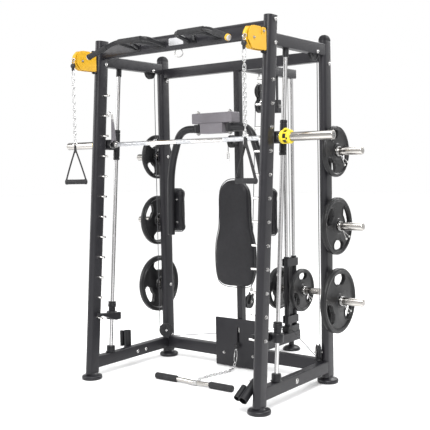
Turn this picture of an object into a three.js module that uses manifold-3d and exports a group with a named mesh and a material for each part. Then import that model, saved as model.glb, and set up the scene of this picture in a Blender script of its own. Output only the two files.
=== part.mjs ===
// Smith machine: a lat-and-rack gym tower with a guided bar, a plate-loaded rear sled, a butterfly
// attachment and weight storage. Millimetres, +Z up, +X to the machine's right, -Y to the front.
// The origin is on the floor, in the middle of the machine's footprint.
import * as THREE from 'three';
import { mergeVertices } from 'three/addons/utils/BufferGeometryUtils.js';
import Module from 'manifold-3d';

const wasm = await Module();
wasm.setup();

// ---------------------------------------------------------------- driving dimensions
const CENTRE_Y = 322; // footprint centre, measured back from the middle between the uprights
const HEIGHT = 2200;
const SIDE_X = 660; // half the distance between the left and right uprights
const UPRIGHT_Y = 386; // feet of the front (-) and rear (+) uprights
const LEAN = 0.0785; // the front uprights and the guide rods lean back by this much per unit height
const TUBE_W = 50; // frame tube, across
const TUBE_D = 100; // frame tube, deep
const WALL = 3;
const REAR_TOP = 2130; // top of the straight part of the rear uprights, below the domed cap
const REAR_FOOT_Y = 1017;
const FINEST_DETAIL = 0.02; // edges shorter than this are merged away
const GAP = 0.35; // clearance between pieces that touch

const PEG_COUNT = 12;
const PEG_TOP_Z = 1844.6;
const PEG_PITCH = 131.1;
const PEG_R = 7.5;

const ROD_R = 12.5;
const ROD_Y0 = -221.5; // where a guide rod's line meets the floor
const BAR_Z = 1528;
const BAR_Y = -188;
const BAR_R = 14;
const SLEEVE_R = 25;
const BAR_HALF = 1034;
const HOOK_X = 600;
const UNLATCH = 10; // degrees the bar is turned to stand its hooks clear of the pegs
const OPENING = { inner: 0.48, outer: 0.84, spread: 0.5 }; // hand openings of a plate: part of its radius, radians

const TOP_RAIL = { low: 2036, high: 2106 };
const BASE_RAIL = { low: 67, high: 142 };
const REAR_TOP_BEAM = { low: 2004, high: 2071, front: 360, back: 412 };
const REAR_BASE_BEAM = { low: 68, high: 145, front: 350, back: 410 };
const FRONT_BEAM = { low: 2080, high: 2177 };

const SLED_Y = 1013;
const SLED_ROD_SPACING = 50; // half
const STORAGE_LEVELS = [
  { name: 'top', z: 1450, radius: 158, from: 718, thick: 27, turn: 110 },
  { name: 'middle', z: 990, radius: 178, from: 720, thick: 32, turn: 30 },
  { name: 'bottom', z: 525, radius: 203, from: 720, thick: 39, turn: 90 },
];
const POST_END = 915;
const DOME_RISE = 37; // height of the domed cap on a rear upright

// ---------------------------------------------------------------- materials
function finish(color, roughness, metalness) {
  return new THREE.MeshStandardMaterial({ color, roughness, metalness });
}
const FRAME_PAINT = finish(0x2c2d31, 0.5, 0.3);
const BLACK_STEEL = finish(0x1b1b1d, 0.45, 0.4);
const GREY_STEEL = finish(0x77767c, 0.5, 0.4);
const CHROME = finish(0xd9dadc, 0.15, 1.0);
const RUBBER = finish(0x1a1a1c, 0.8, 0.0);
const VINYL = finish(0x26262a, 0.6, 0.0);
const AMBER = finish(0xf4b52c, 0.45, 0.1);
const YELLOW = finish(0xf2e24c, 0.5, 0.0);
const NYLON = finish(0x121214, 0.6, 0.0);
const WIRE = finish(0x9b9ea2, 0.4, 0.8);

// ---------------------------------------------------------------- geometry helpers
// Welds a three.js geometry into a closed solid that can be joined and cut.
function solid(geometry) {
  const bare = geometry.clone();
  bare.deleteAttribute('normal');
  bare.deleteAttribute('uv');
  const welded = mergeVertices(bare, 1e-3);
  const kept = [];
  const index = welded.index.array;
  for (let i = 0; i < index.length; i += 3) {
    const [a, b, c] = [index[i], index[i + 1], index[i + 2]];
    if (a !== b && b !== c && c !== a) kept.push(a, b, c);
  }
  return new wasm.Manifold(new wasm.Mesh({
    numProp: 3,
    vertProperties: new Float32Array(welded.attributes.position.array),
    triVerts: new Uint32Array(kept),
  }));
}

function geometryOf(body) {
  const mesh = body.simplify(FINEST_DETAIL).getMesh();
  const geometry = new THREE.BufferGeometry();
  geometry.setAttribute('position', new THREE.BufferAttribute(mesh.vertProperties, 3));
  geometry.setIndex(new THREE.BufferAttribute(mesh.triVerts, 1));
  geometry.computeVertexNormals();
  return geometry;
}

function join(...bodies) {
  return bodies.reduce((whole, body) => whole.add(body));
}

function v(x, y, z) {
  return new THREE.Vector3(x, y, z);
}

function box(x0, x1, y0, y1, z0, z1) {
  const geometry = new THREE.BoxGeometry(Math.abs(x1 - x0), Math.abs(y1 - y0), Math.abs(z1 - z0));
  geometry.translate((x0 + x1) / 2, (y0 + y1) / 2, (z0 + z1) / 2);
  return solid(geometry);
}

// A round bar from one point to another.
function bar(radius, from, to, sides = 16) {
  const along = to.clone().sub(from);
  const geometry = new THREE.CylinderGeometry(radius, radius, along.length(), sides);
  const turn = new THREE.Quaternion().setFromUnitVectors(v(0, 1, 0), along.clone().normalize());
  geometry.applyQuaternion(turn);
  const middle = from.clone().add(to).multiplyScalar(0.5);
  geometry.translate(middle.x, middle.y, middle.z);
  return solid(geometry);
}

function pipe(outer, inner, from, to, sides = 16) {
  const stretch = to.clone().sub(from).normalize();
  return bar(outer, from, to, sides).subtract(
    bar(inner, from.clone().sub(stretch), to.clone().add(stretch), sides));
}

// A flat outline extruded by depth along its own +Z, then stood in the YZ plane (thickness along X).
function plateYZ(shape, x0, x1, curveSegments = 6) {
  const geometry = new THREE.ExtrudeGeometry(shape, { depth: x1 - x0, bevelEnabled: false, curveSegments });
  geometry.applyMatrix4(new THREE.Matrix4().makeBasis(v(0, 1, 0), v(0, 0, 1), v(1, 0, 0)));
  geometry.translate(x0, 0, 0);
  return solid(geometry);
}

// The same with the outline in the XZ plane and the thickness along Y.
function plateXZ(shape, y0, y1, curveSegments = 8) {
  const geometry = new THREE.ExtrudeGeometry(shape, { depth: y1 - y0, bevelEnabled: false, curveSegments });
  geometry.applyMatrix4(new THREE.Matrix4().makeBasis(v(1, 0, 0), v(0, 0, 1), v(0, -1, 0)));
  geometry.translate(0, y1, 0);
  return solid(geometry);
}

function polygon(points) {
  return new THREE.Shape(points.map(([a, b]) => new THREE.Vector2(a, b)));
}

// A rectangle with rounded corners, centred on (cx, cy).
function roundedRect(cx, cy, w, h, r) {
  const shape = new THREE.Shape();
  const [x0, x1, y0, y1] = [cx - w / 2, cx + w / 2, cy - h / 2, cy + h / 2];
  shape.moveTo(x0 + r, y0);
  shape.lineTo(x1 - r, y0);
  shape.absarc(x1 - r, y0 + r, r, -Math.PI / 2, 0, false);
  shape.lineTo(x1, y1 - r);
  shape.absarc(x1 - r, y1 - r, r, 0, Math.PI / 2, false);
  shape.lineTo(x0 + r, y1);
  shape.absarc(x0 + r, y1 - r, r, Math.PI / 2, Math.PI, false);
  shape.lineTo(x0, y0 + r);
  shape.absarc(x0 + r, y0 + r, r, Math.PI, Math.PI * 1.5, false);
  return shape;
}

// Flat-oval frame tube section: two half rounds joined by flats, hollow.
function ovalSection(w, d, wall) {
  const outer = roundedRect(0, 0, w, d, w / 2 - 0.01);
  if (wall > 0) outer.holes.push(new THREE.Path(
    roundedRect(0, 0, w - 2 * wall, d - 2 * wall, w / 2 - wall - 0.01).getPoints(5).reverse()));
  return outer;
}

// A run of round tube along a smooth or straight-sided path.
function tubeAlong(points, radius, sides, steps, tension = 0.5) {
  const curve = new THREE.CatmullRomCurve3(points, false, 'catmullrom', tension);
  const section = new THREE.Shape();
  for (let i = 0; i < sides; i += 1) {
    const angle = (i * 2 * Math.PI) / sides;
    const [a, b] = [radius * Math.cos(angle), radius * Math.sin(angle)];
    if (i === 0) section.moveTo(a, b);
    else section.lineTo(a, b);
  }
  return solid(new THREE.ExtrudeGeometry(section, { steps, bevelEnabled: false, extrudePath: curve }));
}

// Rounds the corners of a polyline so that a tube can follow it.
function bent(points, radius) {
  const path = [points[0]];
  for (let i = 1; i < points.length - 1; i += 1) {
    const before = points[i - 1].clone().sub(points[i]);
    const after = points[i + 1].clone().sub(points[i]);
    const cut = Math.min(radius, before.length() * 0.45, after.length() * 0.45);
    const a = points[i].clone().addScaledVector(before.normalize(), cut);
    const b = points[i].clone().addScaledVector(after.normalize(), cut);
    const corner = new THREE.QuadraticBezierCurve3(a, points[i], b);
    path.push(...corner.getPoints(4));
  }
  path.push(points[points.length - 1]);
  return path;
}

function ball(radius, centre, sides = 12) {
  const geometry = new THREE.SphereGeometry(radius, sides, Math.max(4, sides / 2));
  geometry.translate(centre.x, centre.y, centre.z);
  return solid(geometry);
}

// A block turned about the vertical: `along` and `across` are its horizontal directions.
function turnedBox(centre, along, length, width, height) {
  const geometry = new THREE.BoxGeometry(length, width, height);
  const across = v(-along.y, along.x, 0);
  geometry.applyMatrix4(new THREE.Matrix4().makeBasis(along, across, v(0, 0, 1)));
  geometry.translate(centre.x, centre.y, centre.z);
  return solid(geometry);
}

// A grooved cable wheel about an axis.
function wheel(centre, axis, rim, groove, halfWidth, bore) {
  const profile = [
    [bore, -halfWidth], [rim, -halfWidth], [rim, -halfWidth + 3], [groove, 0],
    [rim, halfWidth - 3], [rim, halfWidth], [bore, halfWidth], [bore, -halfWidth],
  ].map(([r, h]) => new THREE.Vector2(r, h));
  const geometry = new THREE.LatheGeometry(profile, 20);
  geometry.applyQuaternion(new THREE.Quaternion().setFromUnitVectors(v(0, 1, 0), axis.clone().normalize()));
  geometry.translate(centre.x, centre.y, centre.z);
  return solid(geometry);
}

function lathe(points, x, y, z0, segments = 20) {
  const geometry = new THREE.LatheGeometry(points.map(([r, z]) => new THREE.Vector2(r, z)), segments);
  geometry.rotateX(Math.PI / 2);
  geometry.translate(x, y, z0);
  return solid(geometry);
}

// ---------------------------------------------------------------- shared lines
const frontY = (z) => -UPRIGHT_Y + LEAN * z; // centre of a front upright at a height
const rodY = (z) => ROD_Y0 + LEAN * z; // centre of a guide rod at a height
const onRod = (x, z) => v(x, rodY(z), z);

const FOOT_PROFILE = [[0, 0], [66, 0], [67, 10], [60, 27], [40, 38], [0, 38]];
const PULLEY = { rim: 49, groove: 39, run: 45, half: 10, axle: 5, bore: 6 };
const TOP_WHEEL = { y: 247, z: 2043 };
const CABLE_R = 2.5;
const CABLE_Y = TOP_WHEEL.y + PULLEY.run;
// The low corner wheels face the rear mast: the cable turns from straight down to a diagonal run.
const DIAGONAL = v(0, SLED_Y, 0).sub(v(SIDE_X, CABLE_Y, 0)).normalize();
const LOW_WHEEL_Z = 200;
const towardsMast = (side) => v(side * DIAGONAL.x, DIAGONAL.y, 0);
function lowWheelCentre(side) {
  return v(side * SIDE_X, CABLE_Y, LOW_WHEEL_Z).addScaledVector(towardsMast(side), PULLEY.run);
}

// ---------------------------------------------------------------- uprights
function ovalColumn(x, centreY, z0, z1, wall, grow = 0) {
  const section = ovalSection(TUBE_W + grow, TUBE_D + grow, wall);
  const geometry = new THREE.ExtrudeGeometry(section, { depth: z1 - z0, bevelEnabled: false, curveSegments: 5 });
  geometry.translate(x, 0, z0);
  const position = geometry.attributes.position;
  for (let i = 0; i < position.count; i += 1) {
    position.setY(i, position.getY(i) + centreY(position.getZ(i)));
  }
  return solid(geometry);
}

const SWIVEL = { y: -298, low: 1997, high: 2121, pin: 6 };

function frontUpright(side) {
  const x = side * SIDE_X;
  let body = ovalColumn(x, frontY, 30, HEIGHT, WALL);
  body = body.add(lathe(FOOT_PROFILE, x, -UPRIGHT_Y, 0));
  for (let i = 0; i < PEG_COUNT; i += 1) {
    const z = PEG_TOP_Z - i * PEG_PITCH;
    body = body.add(bar(PEG_R, v(side * 580, frontY(z), z), v(side * 693, frontY(z), z), 6));
  }
  for (const z of [SWIVEL.low - 9, SWIVEL.high + 0.5]) {
    body = body.add(box(x - 11, x + 11, SWIVEL.y - 10, frontY(z) - TUBE_D / 2 + 4, z, z + 8.5));
  }
  return body.add(bar(SWIVEL.pin, v(x, SWIVEL.y, SWIVEL.low - 5), v(x, SWIVEL.y, SWIVEL.high + 5), 12));
}

function rearUpright(side) {
  const x = side * SIDE_X;
  let body = ovalColumn(x, () => UPRIGHT_Y, 30, REAR_TOP, WALL);
  body = body.add(lathe(FOOT_PROFILE, x, UPRIGHT_Y, 0));
  for (const level of STORAGE_LEVELS) {
    const at = (px) => v(side * px, UPRIGHT_Y, level.z);
    body = body.add(bar(24, at(683), at(POST_END), 16)).add(bar(40, at(684), at(696), 16));
  }
  return body.add(rearDome(side)).subtract(bar(6, v(x, UPRIGHT_Y, -1), v(x, UPRIGHT_Y, 45), 10));
}

// Domed plug on top of a rear upright: half round from the side, as long as the tube is deep.
function rearDome(side) {
  const dome = new THREE.Shape();
  dome.absellipse(UPRIGHT_Y, REAR_TOP - 1, TUBE_D / 2, DOME_RISE, 0, Math.PI, false, 0);
  const x = side * SIDE_X;
  return plateYZ(dome, x - TUBE_W / 2, x + TUBE_W / 2, 8)
    .intersect(ovalColumn(x, () => UPRIGHT_Y, REAR_TOP - 1, REAR_TOP + DOME_RISE, 0));
}

// ---------------------------------------------------------------- rails and beams
function railTube(side, low, high) {
  const x = side * SIDE_X;
  const outer = box(x - 25, x + 25, -UPRIGHT_Y, UPRIGHT_Y, low, high);
  const hollow = box(x - 22, x + 22, -UPRIGHT_Y - 1, UPRIGHT_Y + 1, low + WALL, high - WALL);
  return outer.subtract(hollow)
    .subtract(ovalColumn(x, frontY, low - 5, high + 5, 0, 2 * GAP))
    .subtract(box(x - 60, x + 60, -UPRIGHT_Y - 200, frontY(high) + 10, low - 5, high + 5))
    .subtract(ovalColumn(x, () => UPRIGHT_Y, low - 5, high + 5, 0, 2 * GAP))
    .subtract(box(x - 60, x + 60, UPRIGHT_Y - 20, UPRIGHT_Y + 200, low - 5, high + 5));
}

function topRail(side) {
  const x = side * SIDE_X;
  const bushEnd = 1985;
  const { y, z } = TOP_WHEEL;
  return railTube(side, TOP_RAIL.low, TOP_RAIL.high)
    .add(bar(18, onRod(x, bushEnd), onRod(x, TOP_RAIL.low + 2), 16))
    .subtract(bar(ROD_R + GAP, onRod(x, bushEnd - 5), onRod(x, TOP_RAIL.low - 4), 12))
    .subtract(box(x - 13, x + 13, y - 52, y + 52, TOP_RAIL.low - 1, TOP_RAIL.low + 5))
    .add(bar(PULLEY.axle, v(x - 30, y, z), v(x + 30, y, z), 10));
}

function lowBracket(side) {
  const along = towardsMast(side);
  const across = v(-along.y, along.x, 0);
  const centre = lowWheelCentre(side);
  const pad = turnedBox(v(centre.x, centre.y, BASE_RAIL.high + 2.7), along, 34.2, 33.4, 7.8);
  const cheeks = [-1, 1].map((way) => turnedBox(
    centre.clone().addScaledVector(across, way * 14.5).setZ(LOW_WHEEL_Z - 20), along, 30, 4, 74));
  const ends = [-18, 18].map((reach) => centre.clone().addScaledVector(across, reach));
  return join(pad, ...cheeks, bar(PULLEY.axle, ends[0], ends[1], 10));
}

function baseRail(side) {
  const x = side * SIDE_X;
  return railTube(side, BASE_RAIL.low, BASE_RAIL.high)
    .add(bar(27, onRod(x, BASE_RAIL.high - 1), onRod(x, 186), 20))
    .subtract(bar(ROD_R + GAP, onRod(x, BASE_RAIL.high + 4), onRod(x, 200), 12))
    .add(box(side * 606, side * 641, 296, 333, BASE_RAIL.high - 4, BASE_RAIL.high + 1.6))
    .add(lowBracket(side));
}

// Vertical tube that parks a loose bar, with its narrow companion, bolted outside the left base rail.
function barHolder() {
  const big = v(-716.5, 12, 0);
  const small = v(-746, -13, 0);
  const at = (p, z) => v(p.x, p.y, z);
  const between = small.clone().sub(big).normalize();
  return join(
    box(-692, -684, -8, 132, 80, 132),
    pipe(26, 22, at(big, 76), at(big, 242)),
    pipe(13, 10, at(small, 135), at(small, 242), 10),
    turnedBox(at(big, 188).addScaledVector(between, 25.8), between, 6.6, 9, 98),
  );
}

function crossTube(x0, x1, y0, y1, z0, z1) {
  return box(x0, x1, y0, y1, z0, z1)
    .subtract(box(x0 - 1, x1 + 1, y0 + WALL, y1 - WALL, z0 + WALL, z1 - WALL));
}

function lengthTube(x0, x1, y0, y1, z0, z1) {
  return box(x0, x1, y0, y1, z0, z1)
    .subtract(box(x0 + WALL, x1 - WALL, y0 - 1, y1 + 1, z0 + WALL, z1 - WALL));
}

const BETWEEN = SIDE_X - TUBE_W / 2 - GAP;
const FRONT_BEAM_Y = -222;

function frontBeam() {
  const { low, high } = FRONT_BEAM;
  const section = ovalSection(TUBE_W, high - low, WALL);
  const geometry = new THREE.ExtrudeGeometry(section, { depth: 2 * BETWEEN, bevelEnabled: false, curveSegments: 5 });
  geometry.applyMatrix4(new THREE.Matrix4().makeBasis(v(0, 1, 0), v(0, 0, 1), v(1, 0, 0)));
  geometry.translate(-BETWEEN, FRONT_BEAM_Y, (low + high) / 2);
  return solid(geometry);
}

const MAST = { x: 20, front: 360, back: 410 };
const FLY = { x: 129, y: 115, z: 1617, hub: 29 };
const MAST_WHEEL = { y: 306, z: 1535 };

function mast() {
  const wheelBracket = [-14, 11].map((x) => box(x, x + 3, MAST_WHEEL.y - 10, MAST.front + 2, 1520, 1550));
  return join(
    box(-MAST.x, MAST.x, MAST.front, MAST.back, REAR_BASE_BEAM.high + GAP, REAR_TOP_BEAM.low - GAP)
      .subtract(box(3 - MAST.x, MAST.x - 3, MAST.front + 3, MAST.back - 3, 400, 2100)),
    box(-18, 18, 354, 361, 700, 780),
    box(-18, 18, 354, 361, 1040, 1120),
    ...wheelBracket,
    wheel(v(0, MAST_WHEEL.y, MAST_WHEEL.z), v(1, 0, 0), 42, 37, 10, 4),
    bar(5, v(-17, MAST_WHEEL.y, MAST_WHEEL.z), v(17, MAST_WHEEL.y, MAST_WHEEL.z), 10),
  );
}

function footplate() {
  const slot = plateXZ(roundedRect(0, 228, 18, 112, 8.9), 330, 360, 4);
  return box(-190, 190, 342, 349.5, 10, 340).subtract(slot);
}

// ---------------------------------------------------------------- butterfly unit
function flyHead() {
  const pins = [-1, 1].map((side) => join(
    bar(8, v(side * FLY.x, FLY.y, 1584), v(side * FLY.x, FLY.y, 1722), 12),
    bar(14, v(side * FLY.x, FLY.y, 1714), v(side * FLY.x, FLY.y, 1728), 6),
    bar(15, v(side * FLY.x, FLY.y, 1581), v(side * FLY.x, FLY.y, 1587.5), 6),
  ));
  return join(
    box(-161, 161, 88, 174, 1649, 1715),
    box(-89, 89, 80, 160, 1583, 1652),
    box(-30, 30, 150, MAST.front - GAP, 1600, 1700),
    ...pins,
  );
}

function flyArm(side) {
  const { x, y, z } = FLY;
  const path = [[148, z], [232, z - 3], [290, 1578], [322, 1500], [349, 1420], [367, 1330], [374, 1220], [380, 922]];
  const tube = tubeAlong(path.map(([px, pz]) => v(side * px, y, pz)), 24.5, 12, 15);
  const stubs = [1010, 1150].map((pz) => box(side * 377 - 12, side * 377 + 12, y + 15, 140, pz, pz + 22));
  return join(
    tube,
    bar(FLY.hub, v(side * x, y, 1590), v(side * x, y, 1645), 20),
    ...stubs,
    box(side * 377 - 52, side * 377 + 52, 138, 144, 960, 1200),
  ).subtract(bar(8.5, v(side * x, y, 1580), v(side * x, y, 1650), 12));
}

function flyPad(side) {
  return plateXZ(roundedRect(side * 373, 1081, 120, 296, 26), 144.5, 203, 3);
}

function backPad() {
  const half = [[0, 1288], [62, 1276], [108, 1232], [125, 1165], [127, 1060], [134, 960], [152, 890],
    [163, 820], [164, 720], [156, 640], [132, 585], [80, 563]];
  const left = half.slice(1).reverse().map(([x, z]) => [-x, z]);
  const outline = new THREE.Shape();
  outline.moveTo(0, half[0][1]);
  outline.splineThru([...half.slice(1), [0, 560], ...left].map(([x, z]) => new THREE.Vector2(x, z)));
  outline.closePath();
  return plateXZ(outline, 298, 353.5, 2);
}

// ---------------------------------------------------------------- pull-up grips
function pullupGrip(side) {
  const face = FRONT_BEAM_Y - TUBE_W / 2 - GAP;
  const at = (x, y, z) => v(side * x, y, z);
  const wing = [at(100, face - 2, 2118), at(110, -398, 2143), at(358, -400, 2143), at(541, -452, 2065)];
  const loop = [at(140, face - 2, 2122), at(212, -350, 2140), at(282, -346, 2140), at(308, face - 2, 2120)];
  const plates = [[82, 158], [290, 352]].map(([x0, x1]) => (
    box(side * x0, side * x1, face - 5, face, 2100, 2140)));
  return join(
    tubeAlong(bent(wing, 40), 14, 8, 20, 0.2),
    tubeAlong(bent(loop, 30), 12, 7, 14, 0.2),
    bar(13, at(345, -398, 2143), at(334, face - 2, 2120), 10),
    ...plates,
  ).subtract(box(-400, 400, face, face + 40, 2060, 2200));
}

// ---------------------------------------------------------------- the guided bar
function guideRod(side) {
  return bar(ROD_R, onRod(side * SIDE_X, 147), onRod(side * SIDE_X, 2030), 12);
}

const CARRIAGE = { low: 1427, high: 1629, outer: 21 };

function carriage(side) {
  const x = side * SIDE_X;
  return join(
    bar(CARRIAGE.outer, onRod(x, CARRIAGE.low), onRod(x, CARRIAGE.high), 16),
    box(x - 24, x + 24, BAR_Y - 23, BAR_Y + 72, BAR_Z - 34, BAR_Z + 34),
  )
    .subtract(bar(ROD_R + 0.6, onRod(x, CARRIAGE.low - 9), onRod(x, CARRIAGE.high + 9), 12))
    .subtract(bar(BAR_R + 0.8, v(x - 30, BAR_Y, BAR_Z), v(x + 30, BAR_Y, BAR_Z), 16));
}

// The J-hook clamped on the bar, standing UNLATCH degrees behind the peg that it latches on.
function barHook(side) {
  const pegZ = PEG_TOP_Z - PEG_PITCH;
  const reach = v(0, frontY(pegZ) - BAR_Y, pegZ - BAR_Z);
  reach.applyAxisAngle(v(1, 0, 0), (-UNLATCH * Math.PI) / 180);
  const tip = v(side * HOOK_X, BAR_Y, BAR_Z).add(reach);
  const up = reach.clone().normalize();
  const back = v(0, up.z, -up.y);
  const blade = polygon([
    [BAR_Y + 23 * back.y, BAR_Z + 23 * back.z],
    [BAR_Y - 23 * back.y, BAR_Z - 23 * back.z],
    [tip.y + 10 * back.y - 30 * up.y, tip.z + 10 * back.z - 30 * up.z],
    [tip.y + 22 * back.y - 30 * up.y, tip.z + 22 * back.z - 30 * up.z],
  ]);
  const crook = [];
  const bend = 16.5;
  const on = (angle) => tip.clone()
    .addScaledVector(back, bend * Math.cos(angle))
    .addScaledVector(up, bend * Math.sin(angle));
  crook.push(on(0).addScaledVector(up, -36));
  for (let i = 0; i <= 6; i += 1) crook.push(on((i * Math.PI) / 6));
  crook.push(on(Math.PI).addScaledVector(up, -12));
  const x0 = side * HOOK_X - 5;
  const onBar = (offset) => v(side * HOOK_X + offset, BAR_Y, BAR_Z);
  return join(
    plateYZ(blade, x0, x0 + 10),
    tubeAlong(crook, 6, 6, 11),
    bar(25, onBar(-16), onBar(16), 20),
  ).subtract(bar(BAR_R + GAP, onBar(-20), onBar(20), 16));
}

function smithBar() {
  const at = (x) => v(x, BAR_Y, BAR_Z);
  return join(
    bar(BAR_R, at(-720), at(720), 16),
    bar(SLEEVE_R, at(-BAR_HALF), at(-700), 16),
    bar(SLEEVE_R, at(700), at(BAR_HALF), 16),
  );
}

function jawCollar(side) {
  return pipe(38, SLEEVE_R + 0.5, v(side * 706, BAR_Y, BAR_Z), v(side * 770, BAR_Y, BAR_Z), 20);
}

function safetyStop(side) {
  const x = side * SIDE_X;
  const pegZ = PEG_TOP_Z - (PEG_COUNT - 1) * PEG_PITCH;
  const under = pegZ + PEG_R + GAP;
  const outline = polygon([
    [rodY(390) + 24, 366], [rodY(390) - 20, 364], [frontY(pegZ) + 24, under], [frontY(pegZ) - 14, under],
    [frontY(pegZ) - 14, under + 22], [rodY(390) - 20, 414], [rodY(390) + 24, 412],
  ]);
  return join(
    plateYZ(outline, side * 608 - 11, side * 608 + 11),
    box(side * 600, side * 655, rodY(390) - 20, rodY(390) + 20, 368, 410),
    bar(26, onRod(x, 362), onRod(x, 415), 16),
    bar(22, onRod(x, 410), onRod(x, 445), 16),
    bar(27, onRod(x, 443), onRod(x, 470), 16),
  ).subtract(bar(ROD_R + 0.6, onRod(x, 350), onRod(x, 480), 12));
}

// ---------------------------------------------------------------- rear mast and sled
const SPINE = { low: 2007, high: 2073, end: 1091 };
const BASE_SPINE = { low: 68, high: 140, end: 1098 };
const BUMPER_TOP = 187;
const SLED = { low: BUMPER_TOP + 1, high: 700, tube: 20, horn: 24, hornZ: 455, hornEnd: 252 };
const COUNTER_BLOCK = { y: 867, z: 1794 };

// The beam between the rear uprights, with the spine welded to it that holds the tops of the sled rods.
function rearTopBeam() {
  const { y, z } = COUNTER_BLOCK;
  const { low, high, front, back } = REAR_TOP_BEAM;
  return join(
    crossTube(-BETWEEN, BETWEEN, front, back, low, high),
    lengthTube(-25, 25, back - WALL, SPINE.end, SPINE.low, SPINE.high),
    box(-4, 4, y - 12, y + 12, z + 40, SPINE.low + 1),
    box(-19, 19, y - 24, y + 24, z - 47, z + 47),
  );
}

// The beam on the floor side, with the spine, bumper block and foot that carry the sled rods.
function rearBaseBeam() {
  const { low, high, front, back } = REAR_BASE_BEAM;
  const foot = lathe([[0, 0], [65, 0], [66, 9], [52, 24], [26, 34], [20, 40], [20, 70], [0, 70]], 0, REAR_FOOT_Y, 0);
  const rods = [-1, 1].map((end) => bar(12.4, v(0, SLED_Y + end * SLED_ROD_SPACING, 139.8),
    v(0, SLED_Y + end * SLED_ROD_SPACING, 200), 12));
  return join(
    crossTube(-BETWEEN, BETWEEN, front, back, low, high),
    lengthTube(-30, 30, back - WALL, BASE_SPINE.end, BASE_SPINE.low, BASE_SPINE.high),
    box(-30, 30, 932, 1096, BASE_SPINE.high - 2, BUMPER_TOP),
    foot,
  ).subtract(rods[0]).subtract(rods[1]);
}

function sledRod(end) {
  const y = SLED_Y + end * SLED_ROD_SPACING;
  return bar(12, v(0, y, BASE_SPINE.high + GAP), v(0, y, SPINE.low - GAP), 12);
}

function sled() {
  const tubes = [-1, 1].map((end) => {
    const y = SLED_Y + end * SLED_ROD_SPACING;
    return bar(SLED.tube, v(0, y, SLED.low), v(0, y, SLED.high), 16);
  });
  const bores = [-1, 1].map((end) => {
    const y = SLED_Y + end * SLED_ROD_SPACING;
    return bar(12.6, v(0, y, SLED.low - 5), v(0, y, SLED.high + 5), 12);
  });
  return join(
    ...tubes,
    box(-5, 5, SLED_Y - 36, SLED_Y + 36, SLED.low + 20, SLED.high - 12),
    bar(SLED.horn, v(-SLED.hornEnd, SLED_Y, SLED.hornZ), v(SLED.hornEnd, SLED_Y, SLED.hornZ), 20),
    bar(38, v(-76, SLED_Y, SLED.hornZ), v(-68, SLED_Y, SLED.hornZ), 20),
    bar(38, v(68, SLED_Y, SLED.hornZ), v(76, SLED_Y, SLED.hornZ), 20),
  ).subtract(bores[0]).subtract(bores[1]);
}

// ---------------------------------------------------------------- weight plates
// A plate with three hand openings round its hub, thickness along X. The first opening is `turn` degrees
// up from the rear.

function weightPlate(y, z, radius, turn, x0, x1) {
  const shape = new THREE.Shape();
  shape.absarc(0, 0, radius, 0, 2 * Math.PI, false);
  const bore = new THREE.Path();
  bore.absarc(0, 0, 25.4, 0, 2 * Math.PI, true);
  shape.holes.push(new THREE.Path(bore.getPoints(8)));
  for (let i = 0; i < 3; i += 1) {
    const middle = (turn * Math.PI) / 180 + (i * 2 * Math.PI) / 3;
    const { inner, outer, spread } = OPENING;
    const grip = new THREE.Path();
    grip.absarc(0, 0, radius * outer, middle - spread, middle + spread, false);
    grip.absarc(0, 0, radius * inner, middle + spread * 0.85, middle - spread * 0.85, true);
    grip.closePath();
    shape.holes.push(new THREE.Path(grip.getPoints(2).reverse()));
  }
  const geometry = new THREE.ExtrudeGeometry(shape, { depth: x1 - x0, bevelEnabled: false, curveSegments: 14 });
  geometry.applyMatrix4(new THREE.Matrix4().makeBasis(v(0, 1, 0), v(0, 0, 1), v(1, 0, 0)));
  geometry.translate(x0, y, z);
  return solid(geometry);
}

function storagePlate(level, side) {
  const near = side * level.from;
  const far = side * (level.from + level.thick);
  return weightPlate(UPRIGHT_Y, level.z, level.radius, level.turn, Math.min(near, far), Math.max(near, far));
}

function sledPlate(side) {
  const [near, far] = [side * 79, side * 117];
  return weightPlate(SLED_Y, SLED.hornZ, 157, 90, Math.min(near, far), Math.max(near, far));
}

// ---------------------------------------------------------------- cable path
const SWIVEL_WHEEL = { y: -412, z: 2056, rim: 52, groove: 46 };

function swivelHousing(side) {
  const x = side * SIDE_X;
  const outline = polygon([[-291, 2004], [-338, 1999], [-430, 1999], [-464, 2020], [-478, 2050],
    [-471, 2085], [-436, 2114], [-350, 2120], [-306, 2120], [-291, 2104]]);
  const { y, z } = SWIVEL_WHEEL;
  return join(
    plateYZ(outline, x - 20, x - 15),
    plateYZ(outline, x + 15, x + 20),
    box(x - 20, x + 20, SWIVEL.y - 8, SWIVEL.y + 7, SWIVEL.low + 1, SWIVEL.high - 1),
    bar(PULLEY.axle, v(x - 24, y, z), v(x + 24, y, z), 10),
  ).subtract(bar(SWIVEL.pin + 0.5, v(x, SWIVEL.y, 1950), v(x, SWIVEL.y, 2150), 12));
}

function swivelWheel(side) {
  const { y, z, rim, groove } = SWIVEL_WHEEL;
  return wheel(v(side * SIDE_X, y, z), v(1, 0, 0), rim, groove, 12, PULLEY.bore);
}

function topWheel(side) {
  return wheel(v(side * SIDE_X, TOP_WHEEL.y, TOP_WHEEL.z), v(1, 0, 0), PULLEY.rim, PULLEY.groove,
    PULLEY.half, PULLEY.bore);
}

function lowWheel(side) {
  const along = towardsMast(side);
  return wheel(lowWheelCentre(side), v(-along.y, along.x, 0), PULLEY.rim, PULLEY.groove, PULLEY.half,
    PULLEY.bore);
}

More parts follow.
